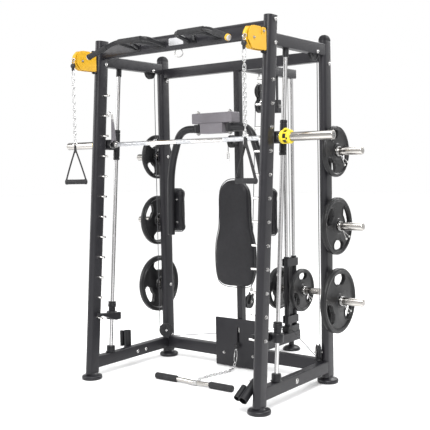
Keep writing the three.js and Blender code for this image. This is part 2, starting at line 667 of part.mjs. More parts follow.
// Down from the top wheel, round the low corner wheel, and across to the foot of the rear mast.
function sideCable(side) {
  const centre = lowWheelCentre(side);
  const along = towardsMast(side);
  const turn = [];
  for (let i = 0; i <= 8; i += 1) {
    const angle = (i * Math.PI) / 16;
    turn.push(centre.clone()
      .addScaledVector(along, -PULLEY.run * Math.cos(angle))
      .setZ(LOW_WHEEL_Z - PULLEY.run * Math.sin(angle)));
  }
  const low = turn[turn.length - 1];
  const run = (Math.abs(centre.x) - 35) / Math.abs(along.x);
  return join(
    bar(CABLE_R, v(side * SIDE_X, CABLE_Y, TOP_WHEEL.z), v(side * SIDE_X, CABLE_Y, LOW_WHEEL_Z - 1), 6),
    tubeAlong(turn, CABLE_R, 6, 8),
    bar(CABLE_R, low, low.clone().addScaledVector(along, run), 6),
  );
}

function liftCable() {
  return bar(CABLE_R, v(0, SLED_Y, SLED.high - 11.6), v(0, SLED_Y, SPINE.low - GAP), 8);
}

const HANGER_Y = 640;

// Two wheels one above the other between cheeks, hung from the top spine.
function hangingPulley() {
  const wheels = [1884, 1784].map((z) => wheel(v(0, HANGER_Y, z), v(1, 0, 0), 47, 41, 10, 4));
  const cheeks = [-14, 10].map((x) => box(x, x + 4, HANGER_Y - 16, HANGER_Y + 16, 1760, 1935));
  return join(
    ...wheels,
    ...cheeks,
    bar(5, v(-17, HANGER_Y, 1884), v(17, HANGER_Y, 1884), 10),
    bar(5, v(-17, HANGER_Y, 1784), v(17, HANGER_Y, 1784), 10),
    box(-14, 14, HANGER_Y - 14, HANGER_Y + 14, 1932, 1945),
    bar(11, v(0, HANGER_Y, 1940), v(0, HANGER_Y, SPINE.low - GAP), 10),
  );
}

const LOW_BLOCK = { y: 478, z: 440 };

// The floating block of the low row, hung on its cable below the hanging pulley.
function lowPulleyBlock() {
  const { y, z } = LOW_BLOCK;
  const top = v(0, y + 30, z + 66);
  return join(
    wheel(v(0, y, z), v(1, 0, 0), 47, 41, 10, 4),
    box(-15, -11, y - 18, y + 40, z - 14, z + 62),
    box(11, 15, y - 18, y + 40, z - 14, z + 62),
    box(-15, 15, y + 18, y + 40, z + 52, z + 66),
    bar(5, v(-18, y, z), v(18, y, z), 10),
    bar(9, top.clone().setZ(z + 60), top.clone().setZ(z + 92), 10),
    bar(CABLE_R, top.clone().setZ(z + 88), v(0, HANGER_Y - 50, 1778), 6),
  );
}

// ---------------------------------------------------------------- handles
const HANDLE = { y: -476, ball: 2020, ring: 1538, grip: 1290, half: 70, turn: { left: 32, right: -4 } };

// Ball stop, chain, ring, webbing triangle and tube grip, hanging as one.
function handle(name, side) {
  const x = side * SIDE_X;
  const { y } = HANDLE;
  const outer = polygon([[-5, 1530], [-5, 1482], [-68, 1297], [-68, 1284], [68, 1284], [68, 1297], [5, 1482],
    [5, 1530]]);
  outer.holes.push(new THREE.Path(polygon([[0, 1468], [58, 1301], [-58, 1301]]).getPoints()));
  const webbing = 20;
  const strap = new THREE.ExtrudeGeometry(outer, { depth: webbing, bevelEnabled: false });
  strap.applyMatrix4(new THREE.Matrix4().makeBasis(v(1, 0, 0), v(0, 0, 1), v(0, -1, 0)));
  strap.translate(0, webbing / 2, 0);
  const grip = new THREE.CylinderGeometry(15, 15, 2 * HANDLE.half, 12);
  grip.rotateZ(Math.PI / 2);
  grip.translate(0, 0, HANDLE.grip);
  for (const geometry of [strap, grip]) {
    geometry.rotateZ((HANDLE.turn[name] * Math.PI) / 180);
    geometry.translate(x, y, 0);
  }
  return join(
    ball(13, v(x, y, HANDLE.ball), 12),
    bar(6, v(x, y, HANDLE.ball - 8), v(x, y, HANDLE.ring), 8),
    bar(13, v(x, y - 3, HANDLE.ring - 4), v(x, y + 3, HANDLE.ring - 4), 12),
    solid(strap),
    solid(grip),
  );
}

const ROW = { ballY: 318, ballZ: 159, barR: 16, left: v(-301, -172, 17), right: v(283, -108, 17) };

// The low-row chain from its ball stop down to the floor, and the straight bar that it pulls.
function rowBar() {
  const route = [v(0, 318, 150), v(0, 312, 100), v(0, 300, 50), v(0, 272, 17), v(0, 220, 9), v(2, 150, 9),
    v(0, 60, 9), v(0, 0, 10), v(3, -60, 14), v(4, -135, 17)];
  const middle = ROW.left.clone().lerp(ROW.right, 0.5);
  return join(
    ball(14, v(0, ROW.ballY, ROW.ballZ), 12),
    tubeAlong(route, 6, 6, 24),
    bar(ROW.barR, ROW.left, ROW.right, 14),
    bar(18, middle.clone().setZ(18).add(v(-25, -2.5, 0)), middle.clone().setZ(18).add(v(25, 2.5, 0)), 14),
  );
}

// ---------------------------------------------------------------- landmine
const LANDMINE = { x: 602, pivot: v(0, -334, 158), mouth: v(0, -461, 80) };

function landmine() {
  const { x, pivot, mouth } = LANDMINE;
  const back = v(x, pivot.y, pivot.z);
  const front = v(x, mouth.y, mouth.z);
  const along = front.clone().sub(back).normalize();
  const smallX = x - 45;
  const smallBack = v(smallX, pivot.y, pivot.z).addScaledVector(along, 50);
  return join(
    pipe(26, 22, back.clone().addScaledVector(along, 20), front),
    bar(24, back.clone().addScaledVector(along, 12), back.clone().addScaledVector(along, 32), 16),
    pipe(20, 16.5, smallBack, front.clone().setX(smallX).addScaledVector(along, -8), 14),
    bar(17, v(x - 22, pivot.y, pivot.z), v(x + 22, pivot.y, pivot.z), 16),
  ).subtract(bar(7.5, v(x - 30, pivot.y, pivot.z), v(x + 30, pivot.y, pivot.z), 12));
}

function landminePin() {
  const { pivot } = LANDMINE;
  return bar(7, v(575, pivot.y, pivot.z), v(637, pivot.y, pivot.z), 12);
}

// ---------------------------------------------------------------- the assembly
const machine = new THREE.Group();

function place(name, body, material) {
  const mesh = new THREE.Mesh(geometryOf(body), material);
  mesh.name = name;
  machine.add(mesh);
}

for (const [name, side] of [['left', -1], ['right', 1]]) {
  const upright = side > 0 ? frontUpright(side).add(landminePin()) : frontUpright(side);
  place(`front_upright_${name}`, upright, FRAME_PAINT);
  place(`rear_upright_${name}`, rearUpright(side), FRAME_PAINT);
  place(`top_rail_${name}`, topRail(side), FRAME_PAINT);
  place(`base_rail_${name}`, side > 0 ? baseRail(side) : baseRail(side).add(barHolder()), FRAME_PAINT);
  place(`pullup_grip_${name}`, pullupGrip(side), BLACK_STEEL);
  place(`guide_rod_${name}`, guideRod(side), CHROME);
  place(`carriage_${name}`, carriage(side), BLACK_STEEL);
  place(`bar_hook_${name}`, barHook(side), GREY_STEEL);
  place(`jaw_collar_${name}`, jawCollar(side), YELLOW);
  place(`safety_stop_${name}`, safetyStop(side), BLACK_STEEL);
  place(`fly_arm_${name}`, flyArm(side), BLACK_STEEL);
  place(`fly_pad_${name}`, flyPad(side), VINYL);
  place(`sled_plate_${name}`, sledPlate(side), RUBBER);
  for (const level of STORAGE_LEVELS) {
    place(`plate_${level.name}_${name}`, storagePlate(level, side), RUBBER);
  }
  place(`swivel_housing_${name}`, swivelHousing(side), AMBER);
  place(`swivel_wheel_${name}`, swivelWheel(side), AMBER);
  place(`top_wheel_${name}`, topWheel(side), NYLON);
  place(`low_wheel_${name}`, lowWheel(side), NYLON);
  place(`side_cable_${name}`, sideCable(side), WIRE);
  place(`cable_handle_${name}`, handle(name, side), NYLON);
}
place('front_beam', frontBeam(), FRAME_PAINT);
place('rear_top_beam', rearTopBeam(), FRAME_PAINT);
place('rear_base_beam', rearBaseBeam(), FRAME_PAINT);
place('mast', mast(), FRAME_PAINT);
place('footplate', footplate(), FRAME_PAINT);
place('back_pad', backPad(), VINYL);
place('fly_head', flyHead(), GREY_STEEL);
place('smith_bar', smithBar(), CHROME);
place('sled_rod_front', sledRod(-1), CHROME);
place('sled_rod_rear', sledRod(1), CHROME);
place('sled', sled(), BLACK_STEEL);
place('lift_cable', liftCable(), WIRE);
place('hanging_pulley', hangingPulley(), NYLON);
place('low_pulley_block', lowPulleyBlock(), NYLON);
place('row_bar', rowBar(), CHROME);
place('landmine', landmine(), BLACK_STEEL);

machine.position.y = -CENTRE_Y;
export default machine;
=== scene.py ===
"""Looks for the smith machine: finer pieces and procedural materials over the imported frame, in metres."""

import math

import bmesh
import bpy
from mathutils import Matrix, Vector


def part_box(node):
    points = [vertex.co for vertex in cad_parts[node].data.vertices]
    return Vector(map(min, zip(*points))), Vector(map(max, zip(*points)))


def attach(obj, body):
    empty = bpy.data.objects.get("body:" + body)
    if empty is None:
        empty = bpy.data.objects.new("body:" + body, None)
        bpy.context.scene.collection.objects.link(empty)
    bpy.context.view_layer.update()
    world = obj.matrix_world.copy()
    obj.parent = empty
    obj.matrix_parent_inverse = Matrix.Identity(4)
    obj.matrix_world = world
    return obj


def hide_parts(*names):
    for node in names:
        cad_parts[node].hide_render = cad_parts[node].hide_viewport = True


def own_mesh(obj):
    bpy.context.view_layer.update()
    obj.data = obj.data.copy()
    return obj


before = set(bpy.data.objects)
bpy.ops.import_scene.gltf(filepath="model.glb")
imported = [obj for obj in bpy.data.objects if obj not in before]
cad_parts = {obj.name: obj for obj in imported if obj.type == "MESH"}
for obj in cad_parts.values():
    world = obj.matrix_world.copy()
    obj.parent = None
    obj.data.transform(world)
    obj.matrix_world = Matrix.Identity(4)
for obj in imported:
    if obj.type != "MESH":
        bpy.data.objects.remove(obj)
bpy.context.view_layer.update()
scene = bpy.context.scene
scene.view_settings.view_transform = "Standard"

SIDES = (("left", -1), ("right", 1))
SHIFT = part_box("front_upright_right")[0][1] + 0.453  # from the design origin to the row frame
LEAN = 0.0785  # forward per metre up, of the front uprights and the guide rods
SIDE_X = 0.66  # from the middle to each side frame
REAR_Y = 0.386  # rear uprights and, mirrored, the feet of the front ones
SLED_Y = 1.013
HORN_Z = 0.455  # the sled's load horn
PEG_TOP, PEG_PITCH, PEG_COUNT = 1.8446, 0.1311, 12
OVAL = (0.05, 0.1)  # section of the uprights
BAR_Y, BAR_Z = -0.188, 1.528
SWIVEL_Y, SWIVEL_Z = -0.412, 2.056  # swivel wheels
TOP_WHEEL_Y, TOP_WHEEL_Z = 0.247, 2.043
CABLE_Y, CABLE_R = 0.292, 0.0025  # upright run of the side cables
LOW_WHEEL_Z, WHEEL_RUN = 0.2, 0.045  # WHEEL_RUN is from a wheel's middle to the cable in its groove
STOP_Y, STOP_Z = -0.476, 2.02  # ball stops of the cable handles
GRIP_Z = 1.29  # their grips
FLY_X, FLY_Y = 0.129, 0.115  # pivots of the butterfly arms
HANGING_Y = 0.64
X, Y, Z = Vector((1, 0, 0)), Vector((0, 1, 0)), Vector((0, 0, 1))
LEAN_DIR = Vector((0, LEAN, 1)).normalized()


def at(x, y, z):
    """A point given from the design's origin, in the row frame."""
    return Vector((x, y + SHIFT, z))


def along_x(u, v, w):
    """Places an outline's (u, v) as (y, z) at x = w."""
    return at(w, u, v)


def along_y(u, v, w):
    return at(u, w, v)


def along_z(u, v, w):
    return at(u, v, w)


def circle(count):
    """The angles of count even steps round a circle."""
    return [2 * math.pi * k / count for k in range(count)]


def round_x(angle):
    """A unit step away from an axis along x."""
    return Vector((0, math.cos(angle), math.sin(angle)))


def front_y(z):
    """Where the leaning front uprights' middle is at a height."""
    return LEAN * z - REAR_Y


def rod_y(z):
    """Where the leaning guide rods are at a height."""
    return LEAN * z - 0.2215


# ------------------------------------------------------------------ camera
def make_camera():
    azimuth, pitch, roll = (math.radians(a) for a in (37.39, 3.448, -1.065))
    forward = Vector((-math.sin(azimuth) * math.cos(pitch), math.cos(azimuth) * math.cos(pitch),
                      -math.sin(pitch)))
    right = Vector((math.cos(azimuth), math.sin(azimuth), 0))
    up = right.cross(forward)
    across = math.cos(roll) * right + math.sin(roll) * up
    upward = -math.sin(roll) * right + math.cos(roll) * up
    data = bpy.data.cameras.new("camera")
    data.lens = 65.81
    data.sensor_width = 36
    camera = bpy.data.objects.new("camera", data)
    scene.collection.objects.link(camera)
    turn = Matrix((across, upward, -forward)).transposed().to_4x4()
    camera.matrix_world = Matrix.Translation(at(3.0793, -3.9212, 1.3641)) @ turn
    scene.camera = camera


make_camera()


# ------------------------------------------------------------------ materials
class Nodes:
    """A material's node tree, with short calls for the nodes used here."""

    def __init__(self, name):
        self.material = bpy.data.materials.new(name)
        self.material.use_nodes = True
        self.tree = self.material.node_tree
        self.shader = self.tree.nodes["Principled BSDF"]
        self.place = self.new("ShaderNodeTexCoord").outputs["Object"]

    def new(self, kind, **settings):
        node = self.tree.nodes.new(kind)
        for key, value in settings.items():
            setattr(node, key, value)
        return node

    def link(self, source, target):
        self.tree.links.new(source, target)

    def noise(self, scale, detail=3.0, rough=0.55):
        node = self.new("ShaderNodeTexNoise")
        node.inputs["Scale"].default_value = scale
        node.inputs["Detail"].default_value = detail
        node.inputs["Roughness"].default_value = rough
        self.link(self.place, node.inputs["Vector"])
        return node.outputs["Fac"]

    def cells(self, scale):
        node = self.new("ShaderNodeTexVoronoi", feature="DISTANCE_TO_EDGE")
        node.inputs["Scale"].default_value = scale
        self.link(self.place, node.inputs["Vector"])
        return node.outputs["Distance"]

    def waves(self, scale, direction, distortion=0.0):
        node = self.new("ShaderNodeTexWave", bands_direction=direction)
        node.inputs["Scale"].default_value = scale
        node.inputs["Distortion"].default_value = distortion
        self.link(self.place, node.inputs["Vector"])
        return node.outputs["Fac"]

    def spread(self, source, low, high):
        node = self.new("ShaderNodeMapRange")
        node.inputs["From Min"].default_value = 0.3
        node.inputs["From Max"].default_value = 0.7
        node.inputs["To Min"].default_value = low
        node.inputs["To Max"].default_value = high
        self.link(source, node.inputs["Value"])
        return node.outputs["Result"]

    def ramp(self, source, stops):
        node = self.new("ShaderNodeValToRGB")
        ramp = node.color_ramp
        ramp.elements[0].position, ramp.elements[0].color = stops[0][0], (*stops[0][1], 1)
        ramp.elements[1].position, ramp.elements[1].color = stops[-1][0], (*stops[-1][1], 1)
        for place, colour in stops[1:-1]:
            ramp.elements.new(place).color = (*colour, 1)
        self.link(source, node.inputs["Fac"])
        return node.outputs["Color"]

    def math(self, kind, a, b):
        node = self.new("ShaderNodeMath", operation=kind)
        for socket, value in zip(node.inputs, (a, b)):
            if isinstance(value, (int, float)):
                socket.default_value = value
            else:
                self.link(value, socket)
        return node.outputs["Value"]

    def bump(self, heights):
        """Chains (height socket, depth in metres, strength) bumps into the shader's normal."""
        normal = None
        for height, depth, strength in heights:
            node = self.new("ShaderNodeBump")
            node.inputs["Distance"].default_value = depth
            node.inputs["Strength"].default_value = strength
            self.link(height, node.inputs["Height"])
            if normal:
                self.link(normal, node.inputs["Normal"])
            normal = node.outputs["Normal"]
        self.link(normal, self.shader.inputs["Normal"])

    def finish(self, base, rough, bumps, **values):
        """Links colour, roughness and bumps, sets the shader's other inputs and hands the material over."""
        self.link(base, self.shader.inputs["Base Color"])
        self.link(rough, self.shader.inputs["Roughness"])
        if bumps:
            self.bump(bumps)
        for key, value in values.items():
            self.shader.inputs[key.replace("_", " ")].default_value = value
        return self.material


def shade(colour, factor):
    return tuple(min(1.0, c * factor) for c in colour)


def painted(name, colour, rough, mottle=0.12, metallic=0.0, wear=0.0, shine=0.3):
    """Powder coat: fine orange peel, a little uneven gloss, faint handling marks, paler worn edges."""
    n = Nodes(name)
    broad = n.noise(7, 4)
    base = n.ramp(broad, [(0.3, shade(colour, 1 - mottle)), (0.7, shade(colour, 1 + mottle))])
    if wear:
        edge = n.new("ShaderNodeNewGeometry").outputs["Pointiness"]
        worn = n.math("MULTIPLY", n.spread(n.noise(60, 5), 0.2, 1), n.math("GREATER_THAN", edge, 0.56))
        mix = n.new("ShaderNodeMix", data_type="RGBA")
        n.link(n.math("MULTIPLY", worn, wear), mix.inputs["Factor"])
        n.link(base, mix.inputs["A"])
        mix.inputs["B"].default_value = (*shade(colour, 2.6), 1)
        base = mix.outputs["Result"]
    peel = [(n.noise(850, 2), 0.0006, 0.18), (n.noise(160, 2), 0.0012, 0.08)]
    gloss = n.spread(n.noise(22, 6), rough - 0.06, rough + 0.08)
    return n.finish(base, gloss, peel, Metallic=metallic, Specular_IOR_Level=shine)


def chromed(name, tint, rough=0.12, across=None, painted_reflection_bands=()):
    """Hard chrome, faintly rubbed and smudged; the optional bands are painted reflections: light and dark
    colour bands by how far each surface faces along across.
    """
    n = Nodes(name)
    base = n.ramp(n.noise(14, 4), [(0.3, shade(tint, 0.93)), (0.7, tint)])
    # painted reflection: light and dark bands multiplied into the chrome's colour by the world direction its
    # surface faces
    if across:
        facing = n.new("ShaderNodeVectorMath", operation="DOT_PRODUCT")
        n.link(n.new("ShaderNodeNewGeometry").outputs["Normal"], facing.inputs[0])
        facing.inputs[1].default_value = across
        where = n.math("MULTIPLY_ADD", facing.outputs["Value"], 0.5)
        where.node.inputs[2].default_value = 0.5
        mix = n.new("ShaderNodeMix", data_type="RGBA", blend_type="MULTIPLY")
        mix.inputs["Factor"].default_value = 1.0
        n.link(base, mix.inputs["A"])
        n.link(n.ramp(where, [(place, (v, v * 0.99, v * 0.97)) for place, v in painted_reflection_bands]), mix.inputs["B"])
        base = mix.outputs["Result"]
    gloss = n.spread(n.noise(35, 6), rough - 0.04, rough + 0.08)
    return n.finish(base, gloss, [(n.noise(700, 3), 0.0002, 0.06)], Metallic=1.0)


def knurled(name, tint):
    """Bar steel cut with two crossing sets of fine grooves."""
    n = Nodes(name)
    turn = n.new("ShaderNodeMapping")
    turn.inputs["Rotation"].default_value = (0, 0.52, 0.52)
    n.link(n.place, turn.inputs["Vector"])
    first = n.waves(170, "X")
    second = n.new("ShaderNodeTexWave", bands_direction="X")
    second.inputs["Scale"].default_value = 170
    n.link(turn.outputs["Vector"], second.inputs["Vector"])
    cuts = n.math("MULTIPLY", first, second.outputs["Fac"])
    base = n.ramp(n.noise(40, 4), [(0.3, shade(tint, 0.8)), (0.7, tint)])
    return n.finish(base, n.spread(n.noise(90, 3), 0.26, 0.4), [(cuts, 0.0008, 0.5)], Metallic=1.0)


def rubbery(name, colour, rough):
    """Moulded rubber: dull, finely pitted, a little dusty in random patches."""
    n = Nodes(name)
    dust = n.noise(55, 6, 0.65)
    base = n.ramp(dust, [(0.35, colour), (0.6, shade(colour, 1.5)), (0.8, shade(colour, 2.4))])
    pits = [(n.noise(1100, 2), 0.0005, 0.25), (n.noise(240, 2), 0.0006, 0.12)]
    gloss = n.spread(n.noise(30, 5), rough - 0.08, rough + 0.12)
    return n.finish(base, gloss, pits, Specular_IOR_Level=0.32)


def upholstery(name, colour):
    """Grained vinyl: a net of fine creases between raised cells, with soft sheen."""
    n = Nodes(name)
    base = n.ramp(n.noise(9, 5), [(0.3, shade(colour, 0.85)), (0.7, shade(colour, 1.35))])
    grain = [(n.cells(330), 0.0007, 0.5), (n.noise(900, 2), 0.0003, 0.2), (n.noise(18, 3), 0.004, 0.12)]
    return n.finish(base, n.spread(n.noise(45, 5), 0.44, 0.6), grain, Sheen_Weight=0.04,
                    Sheen_Roughness=0.5, Specular_IOR_Level=0.3)


def webbing(name, colour):
    """Woven strap: ribs along it crossed by fine threads."""
    n = Nodes(name)
    ribs = n.waves(420, "DIAGONAL", 0.6)
    base = n.ramp(ribs, [(0.2, shade(colour, 0.7)), (0.8, shade(colour, 1.9))])
    weave = [(ribs, 0.0006, 0.6), (n.waves(260, "Z"), 0.0004, 0.4)]
    return n.finish(base, n.spread(n.noise(80, 3), 0.75, 0.9), weave)


def stranded(name, colour):
    """Twisted wire rope under a clear skin."""
    n = Nodes(name)
    twist = n.waves(260, "DIAGONAL")
    base = n.ramp(twist, [(0.2, shade(colour, 0.5)), (0.8, colour)])
    gloss = n.spread(n.noise(60, 3), 0.42, 0.55)
    return n.finish(base, gloss, [(twist, 0.0005, 0.5)], Metallic=0.3, Specular_IOR_Level=0.3)


def floor_surface():
    """Plain pale ground, very slightly uneven."""
    n = Nodes("floor")
    base = n.ramp(n.noise(1.5, 3), [(0.3, (0.93, 0.93, 0.935)), (0.7, (0.95, 0.95, 0.95))])
    return n.finish(base, n.spread(n.noise(6, 4), 0.5, 0.6), [])


PAINT = painted("frame_paint", (0.0135, 0.013, 0.0155), 0.34, wear=0.2)
BLACK = painted("black_paint", (0.009, 0.009, 0.0105), 0.36, wear=0.15)
GREY = painted("grey_paint", (0.13, 0.122, 0.134), 0.46)
SILVER = painted("silver_paint", (0.42, 0.42, 0.43), 0.4, metallic=0.6, shine=0.5)
AMBER = painted("amber_paint", (0.53, 0.3, 0.017), 0.38, mottle=0.06)
CAP = painted("matt_cap", (0.0085, 0.0085, 0.01), 0.62, shine=0.16)
YELLOW = painted("yellow_nylon", (0.66, 0.52, 0.035), 0.45, mottle=0.07)
CHROME = chromed("chrome", (0.74, 0.725, 0.71))
# painted reflections on the upright rods: light and dark colour bands by how far each surface faces along
# (0.794, 0.607, 0)
UPRIGHT_CHROME_PAINTED_REFLECTION = chromed("upright_chrome_painted_reflection", (0.74, 0.74, 0.76), 0.16, (0.794, 0.607, 0),
                         ((0.03, 0.16), (0.16, 0.44), (0.28, 0.74), (0.35, 0.24), (0.43, 0.8), (0.72, 0.88),
                          (0.86, 0.46), (0.98, 0.14)))
# painted reflections on the level chrome (posts, sleeves, horn, row bar): light and dark colour bands by how
# far each surface faces up or down
LEVEL_CHROME_PAINTED_REFLECTION = chromed("level_chrome_painted_reflection", (0.84, 0.815, 0.79), 0.16, (0, 0, 1),
                       ((0.04, 0.26), (0.18, 0.5), (0.3, 0.74), (0.44, 0.42), (0.54, 0.5), (0.7, 0.86),
                        (0.86, 0.74), (0.97, 0.34)))
STEEL = chromed("zinc_steel", (0.46, 0.455, 0.45), 0.24)
ZINC = chromed("bright_zinc", (0.62, 0.62, 0.62), 0.22)
KNURL = knurled("knurled_steel", (0.62, 0.63, 0.65))
RUBBER = rubbery("rubber", (0.005, 0.005, 0.0055), 0.34)
GRIP = rubbery("grip_rubber", (0.012, 0.012, 0.013), 0.62)
NYLON = rubbery("black_nylon", (0.012, 0.012, 0.013), 0.42)
WHITE = painted("white_nylon", (0.62, 0.62, 0.6), 0.45, mottle=0.04)
VINYL = upholstery("vinyl", (0.0085, 0.0082, 0.01))
STRAP = webbing("webbing", (0.012, 0.012, 0.013))
WIRE = stranded("wire_rope", (0.072, 0.073, 0.078))


# ------------------------------------------------------------------ mesh building
class Shape:
    """Geometry gathered in one mesh, then made into a piece that rides on a body."""

    def __init__(self):
        self.bm = bmesh.new()

    def ring(self, points):
        return [self.bm.verts.new(p) for p in points]

    def skin(self, rings, closed=False):
        """Joins rings of equal length; closed joins the last to the first, otherwise both ends are capped."""
        count = len(rings)
        for i in range(count if closed else count - 1):
            a, b = rings[i], rings[(i + 1) % count]
            size = len(a)
            for j in range(size):
                self.bm.faces.new((a[j], a[(j + 1) % size], b[(j + 1) % size], b[j]))
        if not closed:
            self.bm.faces.new(list(reversed(rings[0])))
            self.bm.faces.new(rings[-1])
        return self

    def prism(self, outline, place, near, far):
        """outline is 2-D, and place(u, v, w) puts a point of it at depth w."""
        return self.skin([self.ring([place(u, v, w) for u, v in outline]) for w in (near, far)])

    def box(self, low, high):
        x0, y0, z0 = low
        x1, y1, z1 = high
        corners = [(x0, y0), (x1, y0), (x1, y1), (x0, y1)]
        return self.skin([self.ring([at(x, y, z) for x, y in corners]) for z in (z0, z1)])

    def lathe(self, profile, centre, axis, sides=40):
        """profile holds (radius, distance along axis); the ends are closed flat."""
        axis = axis.normalized()
        u = axis.orthogonal().normalized()
        w = axis.cross(u)
        rings = []
        for radius, along in profile:
            rings.append(self.ring([centre + axis * along + radius * (u * math.cos(t) + w * math.sin(t))
                                    for t in circle(sides)]))
        return self.skin(rings)

    def rod(self, start, end, radius, sides=32):
        length = (end - start).length
        return self.lathe([(radius, 0), (radius, length)], start, end - start, sides)

    def ball(self, centre, radius, sides=20):
        steps = 10
        profile = [(radius * max(math.sin(t), 0.02), -radius * math.cos(t))
                   for t in (math.pi * i / steps for i in range(steps + 1))]
        return self.lathe(profile, centre, Z, sides)

    def sweep(self, points, radius, sides=14, closed=False):
        """A round tube along points; radius is a number or one per point."""
        points = [Vector(p) for p in points]
        count = len(points)
        tangents = []
        for i in range(count):
            before = points[i - 1] if closed or i else points[i]
            after = points[(i + 1) % count] if closed or i < count - 1 else points[i]
            tangents.append((after - before).normalized())
        normal = tangents[0].orthogonal().normalized()
        rings = []
        for i, (p, t) in enumerate(zip(points, tangents)):
            normal = (normal - t * normal.dot(t)).normalized()
            other = t.cross(normal)
            r = radius[i] if isinstance(radius, (list, tuple)) else radius
            rings.append(self.ring([p + r * (normal * math.cos(a) + other * math.sin(a))
                                    for a in circle(sides)]))
        return self.skin(rings, closed=closed)

    def piece(self, name, material, bevel=0.0, body="frame", cad=(), angle=35, slot=None):
        bmesh.ops.recalc_face_normals(self.bm, faces=self.bm.faces)
        mesh = bpy.data.meshes.new(name)
        self.bm.to_mesh(mesh)
        self.bm.free()
        mesh.materials.append(material)
        mesh.shade_smooth()
        mesh.set_sharp_from_angle(angle=math.radians(angle))
        obj = bpy.data.objects.new(name, mesh)
        scene.collection.objects.link(obj)
        if bevel:
            cut = obj.modifiers.new("bevel", "BEVEL")
            cut.width = bevel
            cut.segments = 2
            cut.limit_method = "ANGLE"
            cut.angle_limit = math.radians(40)
            cut.harden_normals = True
        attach(obj, body)
        if cad:
            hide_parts(*cad)
        return obj


def racetrack(width, depth, steps=14):
    """Outline of a flat-sided oval, width across and depth long."""
    r = width / 2
    half = depth / 2 - r
    points = []
    for i in range(steps + 1):
        a = math.pi * i / steps
        points.append((r * math.cos(a), half + r * math.sin(a)))
    for i in range(steps + 1):
        a = math.pi + math.pi * i / steps
        points.append((r * math.cos(a), -half + r * math.sin(a)))
    return points


def rounded(x0, x1, y0, y1, r, steps=6):
    points = []
    for cx, cy, start in ((x1 - r, y1 - r, 0), (x0 + r, y1 - r, 90), (x0 + r, y0 + r, 180),
                          (x1 - r, y0 + r, 270)):
        for i in range(steps + 1):
            a = math.radians(start + 90 * i / steps)
            points.append((cx + r * math.cos(a), cy + r * math.sin(a)))
    return points


def fillet(points, radius, steps=8):
    """The path with each inner corner rounded."""
    out = [Vector(points[0])]
    for a, b, c in zip(points, points[1:], points[2:]):
        a, b, c = Vector(a), Vector(b), Vector(c)
        before, after = (a - b), (c - b)
        reach = min(radius, before.length * 0.48, after.length * 0.48)
        start, end = b + before.normalized() * reach, b + after.normalized() * reach
        for i in range(steps + 1):
            t = i / steps
            out.append((1 - t) ** 2 * start + 2 * t * (1 - t) * b + t ** 2 * end)
    out.append(Vector(points[-1]))
    return out


def spline(points, steps=8):
    """A smooth path through points."""
    points = [Vector(p) for p in points]
    ends = [2 * points[0] - points[1], *points, 2 * points[-1] - points[-2]]
    out = []
    for i in range(1, len(ends) - 2):
        p0, p1, p2, p3 = ends[i - 1:i + 3]
        for k in range(steps):
            t = k / steps
            out.append(0.5 * (2 * p1 + (p2 - p0) * t + (2 * p0 - 5 * p1 + 4 * p2 - p3) * t * t
                              + (3 * p1 - p0 - 3 * p2 + p3) * t ** 3))
    out.append(points[-1])
    return out


def hex_nut(shape, centre, axis, across, thick, stud=0.0):
    axis = axis.normalized()
    shape.lathe([(across * 0.56, 0), (across * 0.56, 0.0016)], centre, axis, 24)
    shape.lathe([(across / 2, 0.0016), (across / 2, thick)], centre, axis, 6)
    if stud:
        shape.lathe([(stud, thick), (stud, thick + 0.005)], centre, axis, 16)


def bolts(name, places, across=0.017, thick=0.009, body="frame"):
    """Bolt heads on their washers, each (centre, axis)."""
    shape = Shape()
    for centre, axis in places:
        hex_nut(shape, centre, axis, across, thick, across * 0.22)
    return shape.piece(name, STEEL, 0.0006, body)


def chain(shape, path, pitch=0.024, wire=0.0023, width=0.0075):
    """Welded links along a path, every second one turned a quarter."""
    path = [Vector(p) for p in path]
    lengths = [0.0]
    for a, b in zip(path, path[1:]):
        lengths.append(lengths[-1] + (b - a).length)
    count = max(2, round(lengths[-1] / pitch))
    step = lengths[-1] / count

    def along(s):
        s = min(max(s, 0), lengths[-1])
        for i in range(len(path) - 1):
            if s <= lengths[i + 1] + 1e-9:
                t = (s - lengths[i]) / max(lengths[i + 1] - lengths[i], 1e-9)
                return path[i].lerp(path[i + 1], t)
        return path[-1]

    for k in range(count):
        a, b = along(k * step), along((k + 1) * step)
        direction = (b - a).normalized()
        across = direction.orthogonal().normalized()
        if abs(direction.z) < 0.7:
            across = direction.cross(Z).normalized()
        if k % 2:
            across = direction.cross(across)
        across = (across + 0.35 * direction.cross(across)).normalized()
        middle = (a + b) / 2
        straight = step / 2 - width + wire * 2.2
        loop = []
        for end in (1, -1):
            for i in range(7):
                t = math.pi * (i / 6 - 0.5)
                u = end * (straight + width * math.cos(t))
                w = end * width * math.sin(t)
                loop.append(middle + direction * u + across * w)
        shape.sweep(loop, wire, 8, closed=True)


# ------------------------------------------------------------------ uprights
FOOT = [(0.057, 0.0), (0.063, 0.0015), (0.0665, 0.006), (0.067, 0.013), (0.066, 0.02), (0.062, 0.0245),
        (0.054, 0.0265), (0.045, 0.0285), (0.037, 0.033), (0.03, 0.04)]


def column(x, centre, z0, z1):
    outline = racetrack(*OVAL)
    shape = Shape()
    return shape.skin([shape.ring([at(x + u, centre(z) + v, z) for u, v in outline]) for z in (z0, z1)])


def foot(x, y):
    return Shape().lathe(FOOT, at(x, y, 0), Z, 56)


DOME_RISE = 0.037


